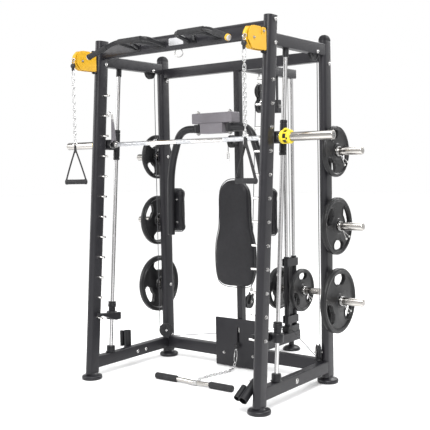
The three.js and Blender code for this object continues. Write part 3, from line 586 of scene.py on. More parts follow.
def front_upright(name, side):
    x = side * SIDE_X
    column(x, front_y, 0.036, 2.2).piece(f"front_column_{name}", PAINT, 0.0015,
                                         cad=[f"front_upright_{name}"])
    foot(x, -REAR_Y).piece(f"front_foot_{name}", PAINT, 0.001)
    pegs, nuts = Shape(), Shape()
    for i in range(PEG_COUNT):
        z = PEG_TOP - i * PEG_PITCH
        start = at(side * 0.64, front_y(z), z)
        pegs.lathe([(0.0085, 0), (0.0085, 0.004), (0.0075, 0.0048), (0.0075, 0.0585), (0.0068, 0.06)],
                   start, -side * X, 24)
        hex_nut(nuts, at(side * 0.685, front_y(z), z), side * X, 0.019, 0.008, 0.005)
    pegs.piece(f"pegs_{name}", CHROME, 0.0008)
    nuts.piece(f"peg_nuts_{name}", STEEL, 0.0006)
    lugs = Shape()
    for z in (1.988, 2.1215):
        y1 = front_y(z) - 0.044
        outline = rounded(-0.012, 0.012, -0.012, y1 + 0.298, 0.0115, 6)
        lugs.prism(outline, lambda u, v, w: at(x + u, -0.298 + v, w), z, z + 0.0085)
    lugs.rod(at(x, -0.298, 1.984), at(x, -0.298, 2.134), 0.006, 20)
    lugs.piece(f"swivel_lugs_{name}", BLACK, 0.001, slot="frame_paint")
    plug = Shape()
    outline = racetrack(0.049, 0.099)
    plug.prism(outline, lambda u, v, w: at(x + u, front_y(2.2) + v, w), 2.1995, 2.2035)
    plug.piece(f"front_plug_{name}", NYLON, 0.0015)


def rear_upright(name, side):
    x = side * SIDE_X
    column(x, lambda z: REAR_Y, 0.036, 2.129).piece(f"rear_column_{name}", PAINT, 0.001,
                                                    cad=[f"rear_upright_{name}"])
    foot(x, REAR_Y).piece(f"rear_foot_{name}", PAINT, 0.001)
    dome = Shape()
    oval_section = racetrack(*OVAL)
    rings = []
    for k in range(13):
        t = math.pi / 2 * k / 12
        narrow, long_, rise = max(math.cos(t) ** 0.6, 0.03), max(math.cos(t), 0.03), DOME_RISE * math.sin(t)
        rings.append(dome.ring([at(x + u * narrow, REAR_Y + v * long_, 2.1285 + rise)
                                for u, v in oval_section]))
    dome.skin(rings)
    dome.piece(f"rear_cap_{name}", CAP, angle=50)
    posts, flanges = Shape(), Shape()
    for z in (1.45, 0.99, 0.525):
        start = at(side * 0.684, REAR_Y, z)
        posts.lathe([(0.024, 0), (0.024, 0.226), (0.0225, 0.2285), (0.018, 0.231)], start, side * X, 40)
        posts.lathe([(0.0105, 0.2305), (0.0105, 0.2318)], start, side * X, 24)
        flanges.lathe([(0.039, 0), (0.04, 0.002), (0.04, 0.008), (0.036, 0.011), (0.026, 0.0125)], start,
                      side * X, 40)
    posts.piece(f"storage_posts_{name}", LEVEL_CHROME_PAINTED_REFLECTION, 0.0005)
    flanges.piece(f"post_flanges_{name}", PAINT, 0.0005)


def rail(name, xs, ys, zs, cad=(), axis="y", r=0.006):
    """A square tube with rounded corners, along axis, between the two ends of xs, ys and zs."""
    u, v, w, place = {"x": (ys, zs, xs, along_x), "y": (xs, zs, ys, along_y),
                      "z": (xs, ys, zs, along_z)}[axis]
    return Shape().prism(rounded(*u, *v, r), place, *w).piece(name, PAINT, 0.0008, cad=cad)


for name, side in SIDES:
    front_upright(name, side)
    rear_upright(name, side)
    x = side * SIDE_X
    for level, z0, z1 in (("top", 2.036, 2.106), ("base", 0.067, 0.142)):
        front = front_y(2.07 if level == "top" else 0.1) + 0.03
        rail(f"{level}_rail_tube_{name}", (x - 0.025, x + 0.025), (front, 0.35), (z0, z1),
             [f"{level}_rail_{name}"])
    guide = Shape().rod(at(x, rod_y(0.147), 0.147), at(x, rod_y(2.03), 2.03), 0.0125, 40)
    guide.piece(f"guide_rod_steel_{name}", UPRIGHT_CHROME_PAINTED_REFLECTION, cad=[f"guide_rod_{name}"])
    socket = Shape().lathe([(0.034, 0), (0.034, 0.004), (0.028, 0.006), (0.028, 0.04), (0.0265, 0.043),
                            (0.0135, 0.0435)], at(x, rod_y(0.1425), 0.1425), LEAN_DIR, 40)
    socket.lathe([(0.014, 0), (0.0175, 0.001), (0.018, 0.004), (0.018, 0.048), (0.022, 0.049),
                  (0.022, 0.053)], at(x, rod_y(1.985), 1.985), LEAN_DIR, 36)
    socket.piece(f"rod_sockets_{name}", BLACK, 0.0006, slot="frame_paint")

# front beam: a flat-sided oval tube across the top
beam = Shape().prism(racetrack(0.05, 0.097), lambda u, v, w: at(w, -0.222 + u, 2.1285 + v), -0.636, 0.636)
beam.piece("front_beam_tube", PAINT, cad=["front_beam"])
rail("rear_top_tube", (-0.64, 0.64), (0.36, 0.412), (2.004, 2.071), ["rear_top_beam"], axis="x")
rail("rear_base_tube", (-0.64, 0.64), (0.35, 0.41), (0.068, 0.145), ["rear_base_beam"], axis="x")
rail("mast_tube", (-0.02, 0.02), (0.36, 0.41), (0.144, 2.006), ["mast"], axis="z", r=0.004)
rail("top_spine_tube", (-0.025, 0.025), (0.41, 1.091), (2.007, 2.073))
rail("base_spine_tube", (-0.03, 0.03), (0.409, 1.098), (0.068, 0.14))

plate = Shape().prism(rounded(-0.057, 0.057, 2.106, 2.15, 0.004), along_y, -0.2488, -0.2462)
plate.piece("blank_plate", SILVER, 0.0006)
ring = Shape().sweep([at(0.022 * math.cos(t), -0.222 + 0.011 * math.cos(t), 2.06 + 0.0245 * math.sin(t))
                      for t in circle(28)], 0.0032, 12, closed=True)
ring.piece("beam_ring", STEEL)


# ------------------------------------------------------------------ overhead grips
def pullup(name, side):
    face = -0.247

    def p(x, y, z):
        return at(side * x, y, z)

    tube = Shape()
    wing = fillet([p(0.1, face, 2.118), p(0.11, -0.398, 2.143), p(0.358, -0.4, 2.143),
                   p(0.541, -0.452, 2.065)], 0.05)
    tube.sweep(wing, 0.014, 24)
    tube.sweep(fillet([p(0.14, face, 2.122), p(0.212, -0.35, 2.14), p(0.282, -0.346, 2.14),
                       p(0.308, face, 2.12)], 0.03), 0.012, 20)
    tube.sweep([p(0.345, -0.398, 2.143), p(0.334, face, 2.12)], 0.013, 20)
    tube.piece(f"pullup_tube_{name}", BLACK, cad=[f"pullup_grip_{name}"])
    sleeves = Shape().sweep([p(0.145, -0.3985, 2.143), p(0.33, -0.3998, 2.143)], 0.0165, 24)
    direction = (wing[-1] - p(0.358, -0.4, 2.143)).normalized()
    end = wing[-1]
    sleeves.rod(end - direction * 0.135, end - direction * 0.006, 0.0168, 24)
    sleeves.piece(f"pullup_sleeves_{name}", GRIP, 0.001)
    collar = Shape().lathe([(0.0168, -0.012), (0.0185, -0.01), (0.0185, 0.002), (0.0165, 0.003)], end,
                           direction, 32)
    collar.piece(f"pullup_collar_{name}", AMBER if side > 0 else BLACK, 0.0006, slot="amber")
    cap = Shape().lathe([(0.0162, 0.002), (0.0162, 0.006), (0.013, 0.009), (0.006, 0.0102),
                         (0.001, 0.0104)], end, direction, 32)
    cap.piece(f"pullup_cap_{name}", SILVER, 0.0004)
    plates = Shape()
    for x0, x1 in ((0.082, 0.158), (0.29, 0.352)):
        plates.box((min(side * x0, side * x1), face - 0.005, 2.1), (max(side * x0, side * x1), face, 2.14))
    plates.piece(f"pullup_plates_{name}", BLACK, 0.002)


for name, side in SIDES:
    pullup(name, side)


# ------------------------------------------------------------------ guided bar
BAR = at(0, BAR_Y, BAR_Z)


def bar_at(x):
    return BAR + x * X


def carriage(name, side):
    x = side * SIDE_X
    bottom = at(x, rod_y(1.427), 1.427)
    shape = Shape().lathe([(0.0135, 0), (0.0195, 0.001), (0.021, 0.003), (0.021, 0.018), (0.0185, 0.0185),
                           (0.0185, 0.022), (0.021, 0.0225), (0.021, 0.178), (0.0185, 0.1785),
                           (0.0185, 0.182), (0.021, 0.1825), (0.021, 0.199), (0.0195, 0.201),
                           (0.0135, 0.202)], bottom, LEAN_DIR, 40)
    shape.prism(rounded(-0.211, -0.118, 1.494, 1.562, 0.014), along_x, x - 0.024, x + 0.024)
    shape.piece(f"bearing_{name}", BLACK, 0.0012, "carriages", cad=[f"carriage_{name}"])
    bolts(f"bearing_bolts_{name}", [(at(x + side * 0.024, -0.135, z), side * X) for z in (1.506, 1.55)],
          0.01, 0.005, "carriages")


def hook_geometry():
    peg_z = PEG_TOP - PEG_PITCH
    reach = Vector((0, front_y(peg_z) - BAR_Y, peg_z - BAR_Z))
    reach = Matrix.Rotation(math.radians(-10), 3, "X") @ reach
    up = reach.normalized()
    back = Vector((0, up.z, -up.y))
    return reach, up, back


def bar_hook(name, side):
    reach, up, back = hook_geometry()
    centre = bar_at(side * 0.6)
    tip = centre + reach
    blade = Shape()
    outline = [centre + 0.0225 * back, centre + 0.012 * back - 0.021 * up,
               centre - 0.012 * back - 0.021 * up, centre - 0.0225 * back, tip + 0.0085 * back - 0.03 * up,
               tip + 0.0235 * back - 0.03 * up]
    rings = [blade.ring([p + X * w for p in outline]) for w in (-0.005, 0.005)]
    blade.skin(rings)
    blade.piece(f"hook_blade_{name}", GREY, 0.002, "bar", cad=[f"bar_hook_{name}"])
    boss = Shape().lathe([(0.0145, 0), (0.024, 0.0015), (0.0255, 0.003), (0.0255, 0.029), (0.024, 0.0305),
                          (0.0145, 0.032)], centre - 0.016 * X, X, 40)
    boss.piece(f"hook_boss_{name}", BLACK, 0.0006, "bar")
    rings = Shape()
    for way in (-1, 1):
        rings.lathe([(0.0145, 0), (0.0215, 0.0006), (0.0222, 0.002), (0.0222, 0.0065), (0.0145, 0.0075)],
                    centre + way * 0.0162 * X, way * X, 36)
    rings.piece(f"hook_rings_{name}", STEEL, 0.0005, "bar")
    crook = [tip + 0.0165 * back - 0.052 * up, tip + 0.0165 * back - 0.02 * up]
    for i in range(13):
        a = math.pi * i / 12
        crook.append(tip + 0.0165 * math.cos(a) * back + 0.0165 * math.sin(a) * up)
    crook.append(tip - 0.0165 * back - 0.012 * up)
    steel = Shape().sweep(crook, [0.0065] * (len(crook) - 1) + [0.0055], 20)
    steel.piece(f"hook_crook_{name}", CHROME, 0.001, "bar")


shaft = Shape().rod(bar_at(-0.715), bar_at(0.715), 0.014, 40)
shaft.piece("bar_shaft", CHROME, body="bar", cad=["smith_bar"])
grips = Shape()
for x0, x1 in ((-0.56, -0.3), (0.3, 0.56), (-0.06, 0.06)):
    grips.rod(bar_at(x0), bar_at(x1), 0.0143, 40)
grips.piece("bar_knurling", KNURL, body="bar")
for name, side in SIDES:
    carriage(name, side)
    bar_hook(name, side)
    sleeve = Shape().lathe([(0.0145, -0.003), (0.027, -0.002), (0.031, 0), (0.031, 0.004), (0.025, 0.0055),
                            (0.025, 0.329), (0.0235, 0.3325), (0.016, 0.334)], bar_at(side * 0.7), side * X,
                           48)
    sleeve.piece(f"bar_sleeve_{name}", LEVEL_CHROME_PAINTED_REFLECTION, 0.0006, "bar")
    cap = Shape().lathe([(0.0155, 0), (0.0155, 0.0008)], bar_at(side * 1.0332), side * X, 36)
    cap.piece(f"sleeve_cap_{name}", STEEL, body="bar")
    jaw = Shape()
    start = bar_at(side * 0.706)
    for step, half in ((0, 0.0215), (0.0425, 0.0215)):
        jaw.lathe([(0.0262, 0), (0.034, 0.0005), (0.0375, 0.003), (0.0385, 0.008), (0.0385, half - 0.004),
                   (0.0365, half - 0.001), (0.0262, half)], start + side * step * X, side * X, 40)
    lever = fillet([start + side * 0.012 * X + 0.03 * Z - 0.012 * Y,
                    start + side * 0.03 * X + 0.047 * Z - 0.006 * Y,
                    start + side * 0.052 * X + 0.03 * Z + 0.004 * Y], 0.012, 6)
    jaw.sweep(lever, 0.0065, 14)
    for k in range(6):
        turn = 0.4 + math.pi / 3 * k
        offset = 0.0345 * round_x(turn)
        jaw.rod(start + side * 0.019 * X + offset, start + side * 0.045 * X + offset, 0.0046, 14)
    core = Shape().lathe([(0.0264, 0), (0.0312, 0.0004), (0.0312, 0.0206), (0.0264, 0.021)],
                         start + side * 0.0217 * X, side * X, 40)
    core.piece(f"jaw_core_{name}", NYLON, 0.0004, f"collar_{name}")
    screws = [start + side * 0.053 * X + 0.0385 * round_x(t) for t in (3.4, 5.2)]
    holes = Shape()
    for place in screws:
        out = (place - start - side * 0.053 * X).normalized()
        holes.lathe([(0.0052, -0.001), (0.0052, 0.0012), (0.003, 0.0016)], place, out, 20)
    holes.piece(f"jaw_screws_{name}", NYLON, body=f"collar_{name}")
    jaw.piece(f"jaw_{name}", YELLOW, 0.0008, f"collar_{name}", cad=[f"jaw_collar_{name}"])


def safety_stop(name, side):
    x = side * SIDE_X
    peg_z = PEG_TOP - (PEG_COUNT - 1) * PEG_PITCH
    under = peg_z + 0.0079
    y = rod_y(0.39)
    shape = Shape()
    outline = [(y + 0.024, 0.366), (y - 0.02, 0.364), (front_y(peg_z) + 0.024, under),
               (front_y(peg_z) - 0.014, under), (front_y(peg_z) - 0.014, under + 0.022), (y - 0.02, 0.414),
               (y + 0.024, 0.412)]
    inner = side * 0.608
    shape.prism(outline, along_x, inner - 0.011, inner + 0.011)
    x0, x1 = sorted((side * 0.6, side * 0.655))
    shape.box((x0, y - 0.02, 0.368), (x1, y + 0.02, 0.41))
    shape.lathe([(0.0135, 0), (0.0345, 0.001), (0.036, 0.004), (0.036, 0.048), (0.034, 0.052),
                 (0.0225, 0.0535), (0.0225, 0.081), (0.026, 0.083), (0.027, 0.086), (0.027, 0.105),
                 (0.025, 0.108), (0.0135, 0.1082)], at(x, rod_y(0.362), 0.362), LEAN_DIR, 44)
    shape.piece(f"stop_body_{name}", BLACK, 0.0015, f"stop_{name}", cad=[f"safety_stop_{name}"])
    bumper = Shape().lathe([(0.0137, 0), (0.0255, 0.0008), (0.0262, 0.003), (0.0262, 0.0095),
                            (0.0137, 0.011)], at(x, rod_y(0.4705), 0.4705), LEAN_DIR, 40)
    bumper.piece(f"stop_bumper_{name}", RUBBER, 0.0006, f"stop_{name}", slot="nylon")


for name, side in SIDES:
    safety_stop(name, side)


# ------------------------------------------------------------------ pads
def cushion(name, outline, y0, y1, body, cad, crown, cap):
    """A stuffed pad between y0 and y1, puffed by a short cloth run; its welt is a separate piece."""
    inset = 0.003
    shape = Shape()
    middle = Vector((sum(p[0] for p in outline) / len(outline), 0,
                     sum(p[1] for p in outline) / len(outline)))

    def shrink(u, v, y, k):
        d = Vector((u - middle.x, 0, v - middle.z))
        f = max(0.0, 1 - k / max(d.length, 1e-6))
        return at(middle.x + d.x * f, y, middle.z + d.z * f)

    layers = [(y0 + inset, crown * 1.3 + inset), (y0 + inset + crown * 0.3, crown * 0.55 + inset),
              (y0 + inset + crown, inset), (y1 - inset - 0.006, inset), (y1 - inset, 0.006 + inset)]
    shape.skin([shape.ring([shrink(u, v, y, k) for u, v in outline]) for y, k in layers])
    obj = shape.piece(name, VINYL, body=body, cad=cad, angle=60)
    remesh = obj.modifiers.new("remesh", "REMESH")
    remesh.mode = "VOXEL"
    remesh.voxel_size = 0.006
    graph = bpy.context.evaluated_depsgraph_get()
    dense = bpy.data.meshes.new_from_object(obj.evaluated_get(graph))
    obj.modifiers.clear()
    obj.data = dense
    rest = [v.co.copy() for v in dense.vertices]
    cloth = obj.modifiers.new("cloth", "CLOTH")
    cloth.settings.use_pressure = True
    cloth.settings.uniform_pressure_force = 4
    cloth.settings.effector_weights.gravity = 0
    cloth.settings.quality = 5
    for step in range(1, 21):
        scene.frame_set(step)
    graph = bpy.context.evaluated_depsgraph_get()
    puffed = [v.co.copy() for v in obj.evaluated_get(graph).data.vertices]
    obj.modifiers.clear()
    scene.frame_set(1)
    for vertex, before, after in zip(dense.vertices, rest, puffed):
        move = after - before
        if move.length > cap:
            move *= cap / move.length
        back = at(0, y1, 0).y
        new = before + move
        new.y = min(new.y, back)
        vertex.co = new
    dense.shade_smooth()
    smooth = obj.modifiers.new("smooth", "SUBSURF")
    smooth.levels = smooth.render_levels = 1
    return obj


def welt(name, outline, y, body):
    """The piping along a pad's seam."""
    shape = Shape().sweep([at(u, y, v) for u, v in outline], 0.0026, 10, closed=True)
    return shape.piece(name, VINYL, body=body)


HALF_PAD = [(0.0, 1.288), (0.062, 1.276), (0.108, 1.232), (0.125, 1.165), (0.127, 1.06), (0.134, 0.96),
            (0.152, 0.89), (0.163, 0.82), (0.164, 0.72), (0.156, 0.64), (0.132, 0.585), (0.08, 0.563)]


def pad_outline():
    left = [(-x, z) for x, z in reversed(HALF_PAD[1:])]
    loop = [Vector((x, 0, z)) for x, z in [*HALF_PAD, (0.0, 0.56), *left]]
    closed = [*loop, loop[0], loop[1]]
    points = spline(closed, 5)[:len(loop) * 5]
    return [(p.x, p.z) for p in points]


back_outline = pad_outline()
back_pad = cushion("back_pad_soft", back_outline, 0.298, 0.345, "frame", ["back_pad"], 0.016, 0.006)
welt("back_pad_welt", back_outline, 0.3215, "frame")
board = Shape().prism([(u * 0.93, 0.925 + (v - 0.925) * 0.97) for u, v in back_outline], along_y, 0.345,
                      0.3545)
board.piece("back_pad_board", NYLON, 0.002)


# ------------------------------------------------------------------ butterfly unit
def fly_unit():
    head = Shape().prism(rounded(-0.161, 0.161, 1.649, 1.715, 0.006), along_y, 0.088, 0.174)
    head.piece("fly_head_box", GREY, 0.002, cad=["fly_head"])
    low = Shape().prism(rounded(-0.089, 0.089, 1.583, 1.6485, 0.006), along_y, 0.08, 0.16)
    low.piece("fly_head_block", GREY, 0.0015)
    neck = Shape().prism(rounded(-0.03, 0.03, 1.6, 1.7, 0.005), along_y, 0.158, 0.361)
    neck.piece("fly_head_neck", BLACK, 0.0015)
    pins = Shape()
    for side in (-1, 1):
        pins.rod(at(side * FLY_X, FLY_Y, 1.584), at(side * FLY_X, FLY_Y, 1.722), 0.008, 24)
        hex_nut(pins, at(side * FLY_X, FLY_Y, 1.715), Z, 0.028, 0.013, 0.007)
        hex_nut(pins, at(side * FLY_X, FLY_Y, 1.5882), -Z, 0.028, 0.01, 0.007)
    pins.piece("fly_pins", STEEL, 0.0008)


def fly_arm(name, side):
    body = f"fly_{name}"
    y = FLY_Y
    path = [(0.148, 1.617), (0.232, 1.614), (0.29, 1.578), (0.322, 1.5), (0.349, 1.42), (0.367, 1.33),
            (0.374, 1.22), (0.38, 0.922)]
    tube = Shape().sweep(spline([at(side * px, y, pz) for px, pz in path], 8), 0.0245, 32)
    tube.piece(f"fly_tube_{name}", BLACK, body=body, cad=[f"fly_arm_{name}"])
    hub = Shape().lathe([(0.0087, 0), (0.0275, 0.001), (0.029, 0.003), (0.029, 0.052), (0.0275, 0.054),
                         (0.0087, 0.055)], at(side * FLY_X, y, 1.59), Z, 40)
    hub.piece(f"fly_hub_{name}", BLACK, 0.0008, body)
    mount = Shape()
    px = side * 0.377
    for z in (1.01, 1.15):
        mount.box((px - 0.012, 0.13, z), (px + 0.012, 0.139, z + 0.022))
    mount.prism(rounded(px - 0.052, px + 0.052, 0.96, 1.2, 0.012), along_y, 0.138, 0.1435)
    mount.piece(f"fly_pad_plate_{name}", BLACK, 0.001, body)
    plug = Shape().lathe([(0.0245, 0), (0.0245, 0.004), (0.021, 0.008)], at(side * 0.38, y, 0.924), -Z, 32)
    plug.piece(f"fly_plug_{name}", NYLON, 0.001, body)
    bolts(f"fly_bolts_{name}", [(at(side * 0.345, 0.138, z), -Y) for z in (1.155, 1.002)], 0.014, 0.006,
          body)
    outline = rounded(side * 0.373 - 0.058, side * 0.373 + 0.058, 0.935, 1.227, 0.026, 7)
    pad = cushion(f"fly_pad_soft_{name}", outline, 0.1445, 0.201, body, [f"fly_pad_{name}"], 0.014, 0.006)
    welt(f"fly_pad_welt_{name}", outline, 0.17, body)


fly_unit()
for name, side in SIDES:
    fly_arm(name, side)

# ------------------------------------------------------------------ mast fittings, foot plate
fittings = Shape()
for z in (0.7, 1.04):
    fittings.box((-0.018, 0.3546, z), (0.018, 0.361, z + 0.08))
for x in (-0.014, 0.011):
    fittings.prism(rounded(0.29, 0.362, 1.517, 1.553, 0.008), along_x, x, x + 0.003)
fittings.piece("mast_fittings", BLACK, 0.0006)


def pulley(name, centre, axis, rim, groove, half, body, cad=(), material=None):
    profile = [(0.007, -half), (rim * 0.42, -half), (rim * 0.45, -half * 0.6), (rim * 0.8, -half * 0.6),
               (rim * 0.84, -half), (rim, -half), (rim, -half + 0.0022), (groove + 0.003, -0.0035),
               (groove, 0), (groove + 0.003, 0.0035), (rim, half - 0.0022), (rim, half), (rim * 0.84, half),
               (rim * 0.8, half * 0.6), (rim * 0.45, half * 0.6), (rim * 0.42, half), (0.007, half)]
    shape = Shape().lathe(profile, centre, axis, 48)
    shape.piece(name, material or NYLON, 0.0004, body, cad=cad, slot="nylon")
    return shape


def axle(name, centre, axis, half):
    """A pulley's bolt, with a nut at each end."""
    axis = axis.normalized()
    shape = Shape().rod(centre - axis * half, centre + axis * half, 0.005, 20)
    for way in (1, -1):
        hex_nut(shape, centre + way * axis * half, way * axis, 0.015, 0.006, 0.004)
    shape.piece(name, STEEL, 0.0005)


pulley("mast_pulley", at(0, 0.306, 1.535), X, 0.042, 0.037, 0.01, "frame")
axle("mast_pulley_axle", at(0, 0.306, 1.535), X, 0.0145)
Shape().sweep([at(0.0, 0.264, 1.535), at(0, 0.264, 1.47)], CABLE_R, 10).piece("mast_pulley_cable", WIRE)
clip = Shape().sweep([at(0.008 * math.sin(t), 0.264, 1.437 + 0.03 * math.cos(t)) for t in circle(28)],
                     0.0032, 10, closed=True)
clip.piece("mast_clip", CHROME)


def foot_plate():
    shape = Shape().prism(rounded(-0.19, 0.19, 0.01, 0.34, 0.006), along_y, 0.342, 0.3495)
    obj = shape.piece("foot_plate_sheet", PAINT, cad=["footplate"])
    cutter = Shape().prism(rounded(-0.009, 0.009, 0.172, 0.284, 0.0088, 8), along_y, 0.33, 0.36)
    cut(obj, cutter)
    soften(obj)
    guide = Shape().lathe([(0.003, 0), (0.0042, 0.002), (0.0042, 0.034), (0.003, 0.036)],
                          at(0, 0.3546, 0.247), Z, 20)
    guide.piece("slot_guide", WHITE, 0.0004)
    bolts("foot_plate_bolts", [(at(x, 0.342, 0.1), -Y) for x in (-0.12, 0.12)], 0.018, 0.008)


def cut(obj, shape):
    """Cuts a shape out of an object's mesh."""
    bmesh.ops.recalc_face_normals(shape.bm, faces=shape.bm.faces)
    mesh = bpy.data.meshes.new("cutter")
    shape.bm.to_mesh(mesh)
    shape.bm.free()
    tool = bpy.data.objects.new("cutter", mesh)
    scene.collection.objects.link(tool)
    change = obj.modifiers.new("cut", "BOOLEAN")
    change.object = tool
    change.operation = "DIFFERENCE"
    change.solver = "EXACT"
    graph = bpy.context.evaluated_depsgraph_get()
    result = bpy.data.meshes.new_from_object(obj.evaluated_get(graph))
    obj.modifiers.clear()
    old = obj.data
    obj.data = result
    bpy.data.meshes.remove(old)
    bpy.data.objects.remove(tool)
    bpy.data.meshes.remove(mesh)
    result.shade_smooth()
    result.set_sharp_from_angle(angle=math.radians(30))


def soften(obj):
    """Small rounds on the edges of a piece that was cut."""
    edge = obj.modifiers.new("bevel", "BEVEL")
    edge.width, edge.segments, edge.limit_method = 0.0012, 2, "ANGLE"


foot_plate()


# ------------------------------------------------------------------ weight plates
def kidney(radius, middle, grow=0.0):
    """Rounded outline of one hand opening, as (y, z) about the hub, grow metres larger all round."""
    inner, outer = radius * 0.48 - grow, radius * 0.84 + grow
    corner = (outer - inner) * 0.3
    turns = []
    for r, way, inset in ((outer, 1, corner), (inner, -1, corner * 0.8)):
        spread = 0.5 + grow / radius - inset / r
        reach = [way * spread * (2 * k / 8 - 1) for k in range(9)]
        turns.append([(r, middle + a) for a in reach])
    first, second = turns
    side_a = (inner + corner + (outer - inner) * 0.05, middle + 0.47 + grow / radius)
    side_b = (outer - corner, middle + 0.495 + grow / radius)
    side_c = (side_a[0], 2 * middle - side_a[1])
    side_d = (side_b[0], 2 * middle - side_b[1])
    loop = [*first, side_b, side_a, *second, side_c, side_d]
    points = [Vector((r * math.cos(a), r * math.sin(a), 0)) for r, a in loop]
    smooth = spline([*points, points[0], points[1]], 3)[:len(points) * 3]
    return [(p.x, p.y) for p in smooth]


def weight(name, y, z, radius, turn, near, far, side, body, cad=()):
    """A tri-grip plate between |x| = near and far: stepped rim, dished web, hub, three lipped openings."""
    thick = far - near
    centre = at(side * near, y, z)
    dish = thick * 0.24
    face = [(0.0256, 0.0015), (0.0275, 0.0), (0.044, 0.0), (0.049, dish * 0.7), (0.058, dish),
            (radius * 0.84, dish), (radius * 0.875, dish * 0.45), (radius * 0.885, 0.001),
            (radius * 0.895, 0.0), (radius * 0.935, 0.0), (radius * 0.945, 0.0022),
            (radius * 0.975, 0.0026), (radius * 0.99, 0.0045), (radius, 0.0085)]
    profile = [*face, *[(r, thick - h) for r, h in reversed(face)]]

    def around(r, h, sides):
        return [centre + side * h * X + r * round_x(t) for t in circle(sides)]

    shape = Shape()
    shape.skin([shape.ring(around(r, h, 80)) for r, h in profile], closed=True)
    obj = shape.piece(name, RUBBER, body=body, cad=cad)
    middles = [math.radians(turn + 120 * i) for i in range(3)]
    cutter = Shape()
    for middle in middles:
        outline = kidney(radius, middle)
        cutter.skin([cutter.ring([centre + side * w * X + Vector((0, u, v)) for u, v in outline])
                     for w in (-0.01, thick + 0.01)])
    cut(obj, cutter)
    lips = Shape()
    for middle in middles:
        outline = kidney(radius, middle, 0.0008)
        for w in (dish, thick - dish):
            lips.sweep([centre + side * w * X + Vector((0, u, v)) for u, v in outline], 0.0042, 8,
                       closed=True)
    lips.piece(f"{name}_lips", RUBBER, body=body)
    hub = Shape()
    for w in (0.0, thick - 0.0008):
        section = ((0.0255, 0), (0.032, 0), (0.032, 0.0008), (0.0255, 0.0008))
        hub.skin([hub.ring(around(r, w + h, 44)) for r, h in section], closed=True)
    hub.piece(f"{name}_hub", STEEL, body=body)


def spring_clip(name, centre, side, body):
    """A sprung wire clip: three turns round the post and two legs that spread down and back to ball ends."""
    coil, wire, turns, start = 0.0264, 0.0019, 2.9, math.radians(-30)
    points = []
    for i in range(72):
        t = i / 71
        a = start + turns * 2 * math.pi * t
        points.append(centre + side * (0.004 + 0.0135 * t) * X + (coil + wire) * round_x(a))
    ends = []
    legs = ((points[0], (0.1 * side, 0.5, -0.83), 0.082), (points[-1], (0.4 * side, 0.62, -0.66), 0.06))
    for root, direction, length in legs:
        ends.append(root + Vector(direction).normalized() * length)
    Shape().sweep([ends[0], *points, ends[1]], wire, 8).piece(name, STEEL, body=body)
    tips = Shape()
    for end in ends:
        tips.ball(end, 0.0062, 16)
    tips.piece(f"{name}_tips", WHITE, body=body)


LEVELS = (("top", 1.45, 0.158, 110, 0.7184, 0.7446), ("middle", 0.99, 0.178, 30, 0.7204, 0.7516),
          ("bottom", 0.525, 0.203, 90, 0.7204, 0.7586))
for name, side in SIDES:
    for level, z, radius, turn, near, far in LEVELS:
        body = f"{level}_plate_{name}"
        weight(f"weight_{level}_{name}", REAR_Y, z, radius, turn, near, far, side, body,
               [f"plate_{level}_{name}"])
        spring_clip(f"clip_{level}_{name}", at(side * far, REAR_Y, z), side, body)
    weight(f"sled_weight_{name}", SLED_Y, HORN_Z, 0.157, 90, 0.0794, 0.1166, side, f"sled_plate_{name}",
           [f"sled_plate_{name}"])
    spring_clip(f"clip_sled_{name}", at(side * 0.1166, SLED_Y, HORN_Z), side, f"sled_plate_{name}")

# ------------------------------------------------------------------ rear mast and sled
foot_shape = Shape().lathe([(0.058, 0), (0.065, 0.002), (0.066, 0.009), (0.062, 0.017), (0.052, 0.025),
                            (0.036, 0.032), (0.026, 0.034), (0.02, 0.04), (0.02, 0.07)], at(0, 1.017, 0), Z,
                           56)
foot_shape.piece("rear_spine_foot", PAINT, 0.001)
bumper = Shape().prism(rounded(-0.03, 0.03, 0.932, 1.096, 0.012), along_z, 0.1395, 0.1872)
bumper.piece("sled_bumper", RUBBER, 0.003, slot="nylon")
for end, name in ((-1, "front"), (1, "rear")):
    rod = Shape()
    y = SLED_Y + end * 0.05
    rod.rod(at(0, y, 0.141), at(0, y, 2.007), 0.012, 36)
    rod.piece(f"sled_rod_steel_{name}", UPRIGHT_CHROME_PAINTED_REFLECTION, cad=[f"sled_rod_{name}"])
sled = Shape()
for end in (-1, 1):
    y = SLED_Y + end * 0.05
    sled.lathe([(0.0128, 0), (0.0195, 0.001), (0.0205, 0.003), (0.0205, 0.508), (0.0195, 0.5105),
                (0.0128, 0.512)], at(0, y, 0.188), Z, 40)
sled.box((-0.005, 0.977, 0.208), (0.005, 1.049, 0.688))
sled.piece("sled_tubes", BLACK, 0.0008, "sled", cad=["sled"])
links = Shape()
for z0, z1 in ((0.205, 0.262), (0.628, 0.686)):
    for x in (-0.024, 0.0205):
        links.prism(rounded(0.94, 1.086, z0, z1, 0.006), along_x, x, x + 0.0035)
links.piece("sled_link_plates", PAINT, 0.0006, "sled")
horn = Shape().rod(at(-0.252, SLED_Y, HORN_Z), at(0.252, SLED_Y, HORN_Z), 0.024, 40)
horn.piece("sled_horn", LEVEL_CHROME_PAINTED_REFLECTION, 0.002, "sled")
flange = Shape()
for side in (-1, 1):
    flange.lathe([(0.0245, 0), (0.037, 0.0005), (0.038, 0.002), (0.038, 0.0075)],
                 at(side * 0.068, SLED_Y, HORN_Z), side * X, 40)
flange.piece("sled_flanges", BLACK, 0.0006, "sled")
block = Shape().prism(rounded(0.843, 0.891, 1.747, 1.841, 0.006), along_x, -0.019, 0.019)
block.box((-0.004, 0.855, 1.83), (0.004, 0.879, 2.008))
block.piece("spine_block", BLACK, 0.0015)
bolts("spine_block_bolt", [(at(0.019, 0.867, 1.794), X), (at(-0.019, 0.867, 1.794), -X)], 0.022, 0.01)

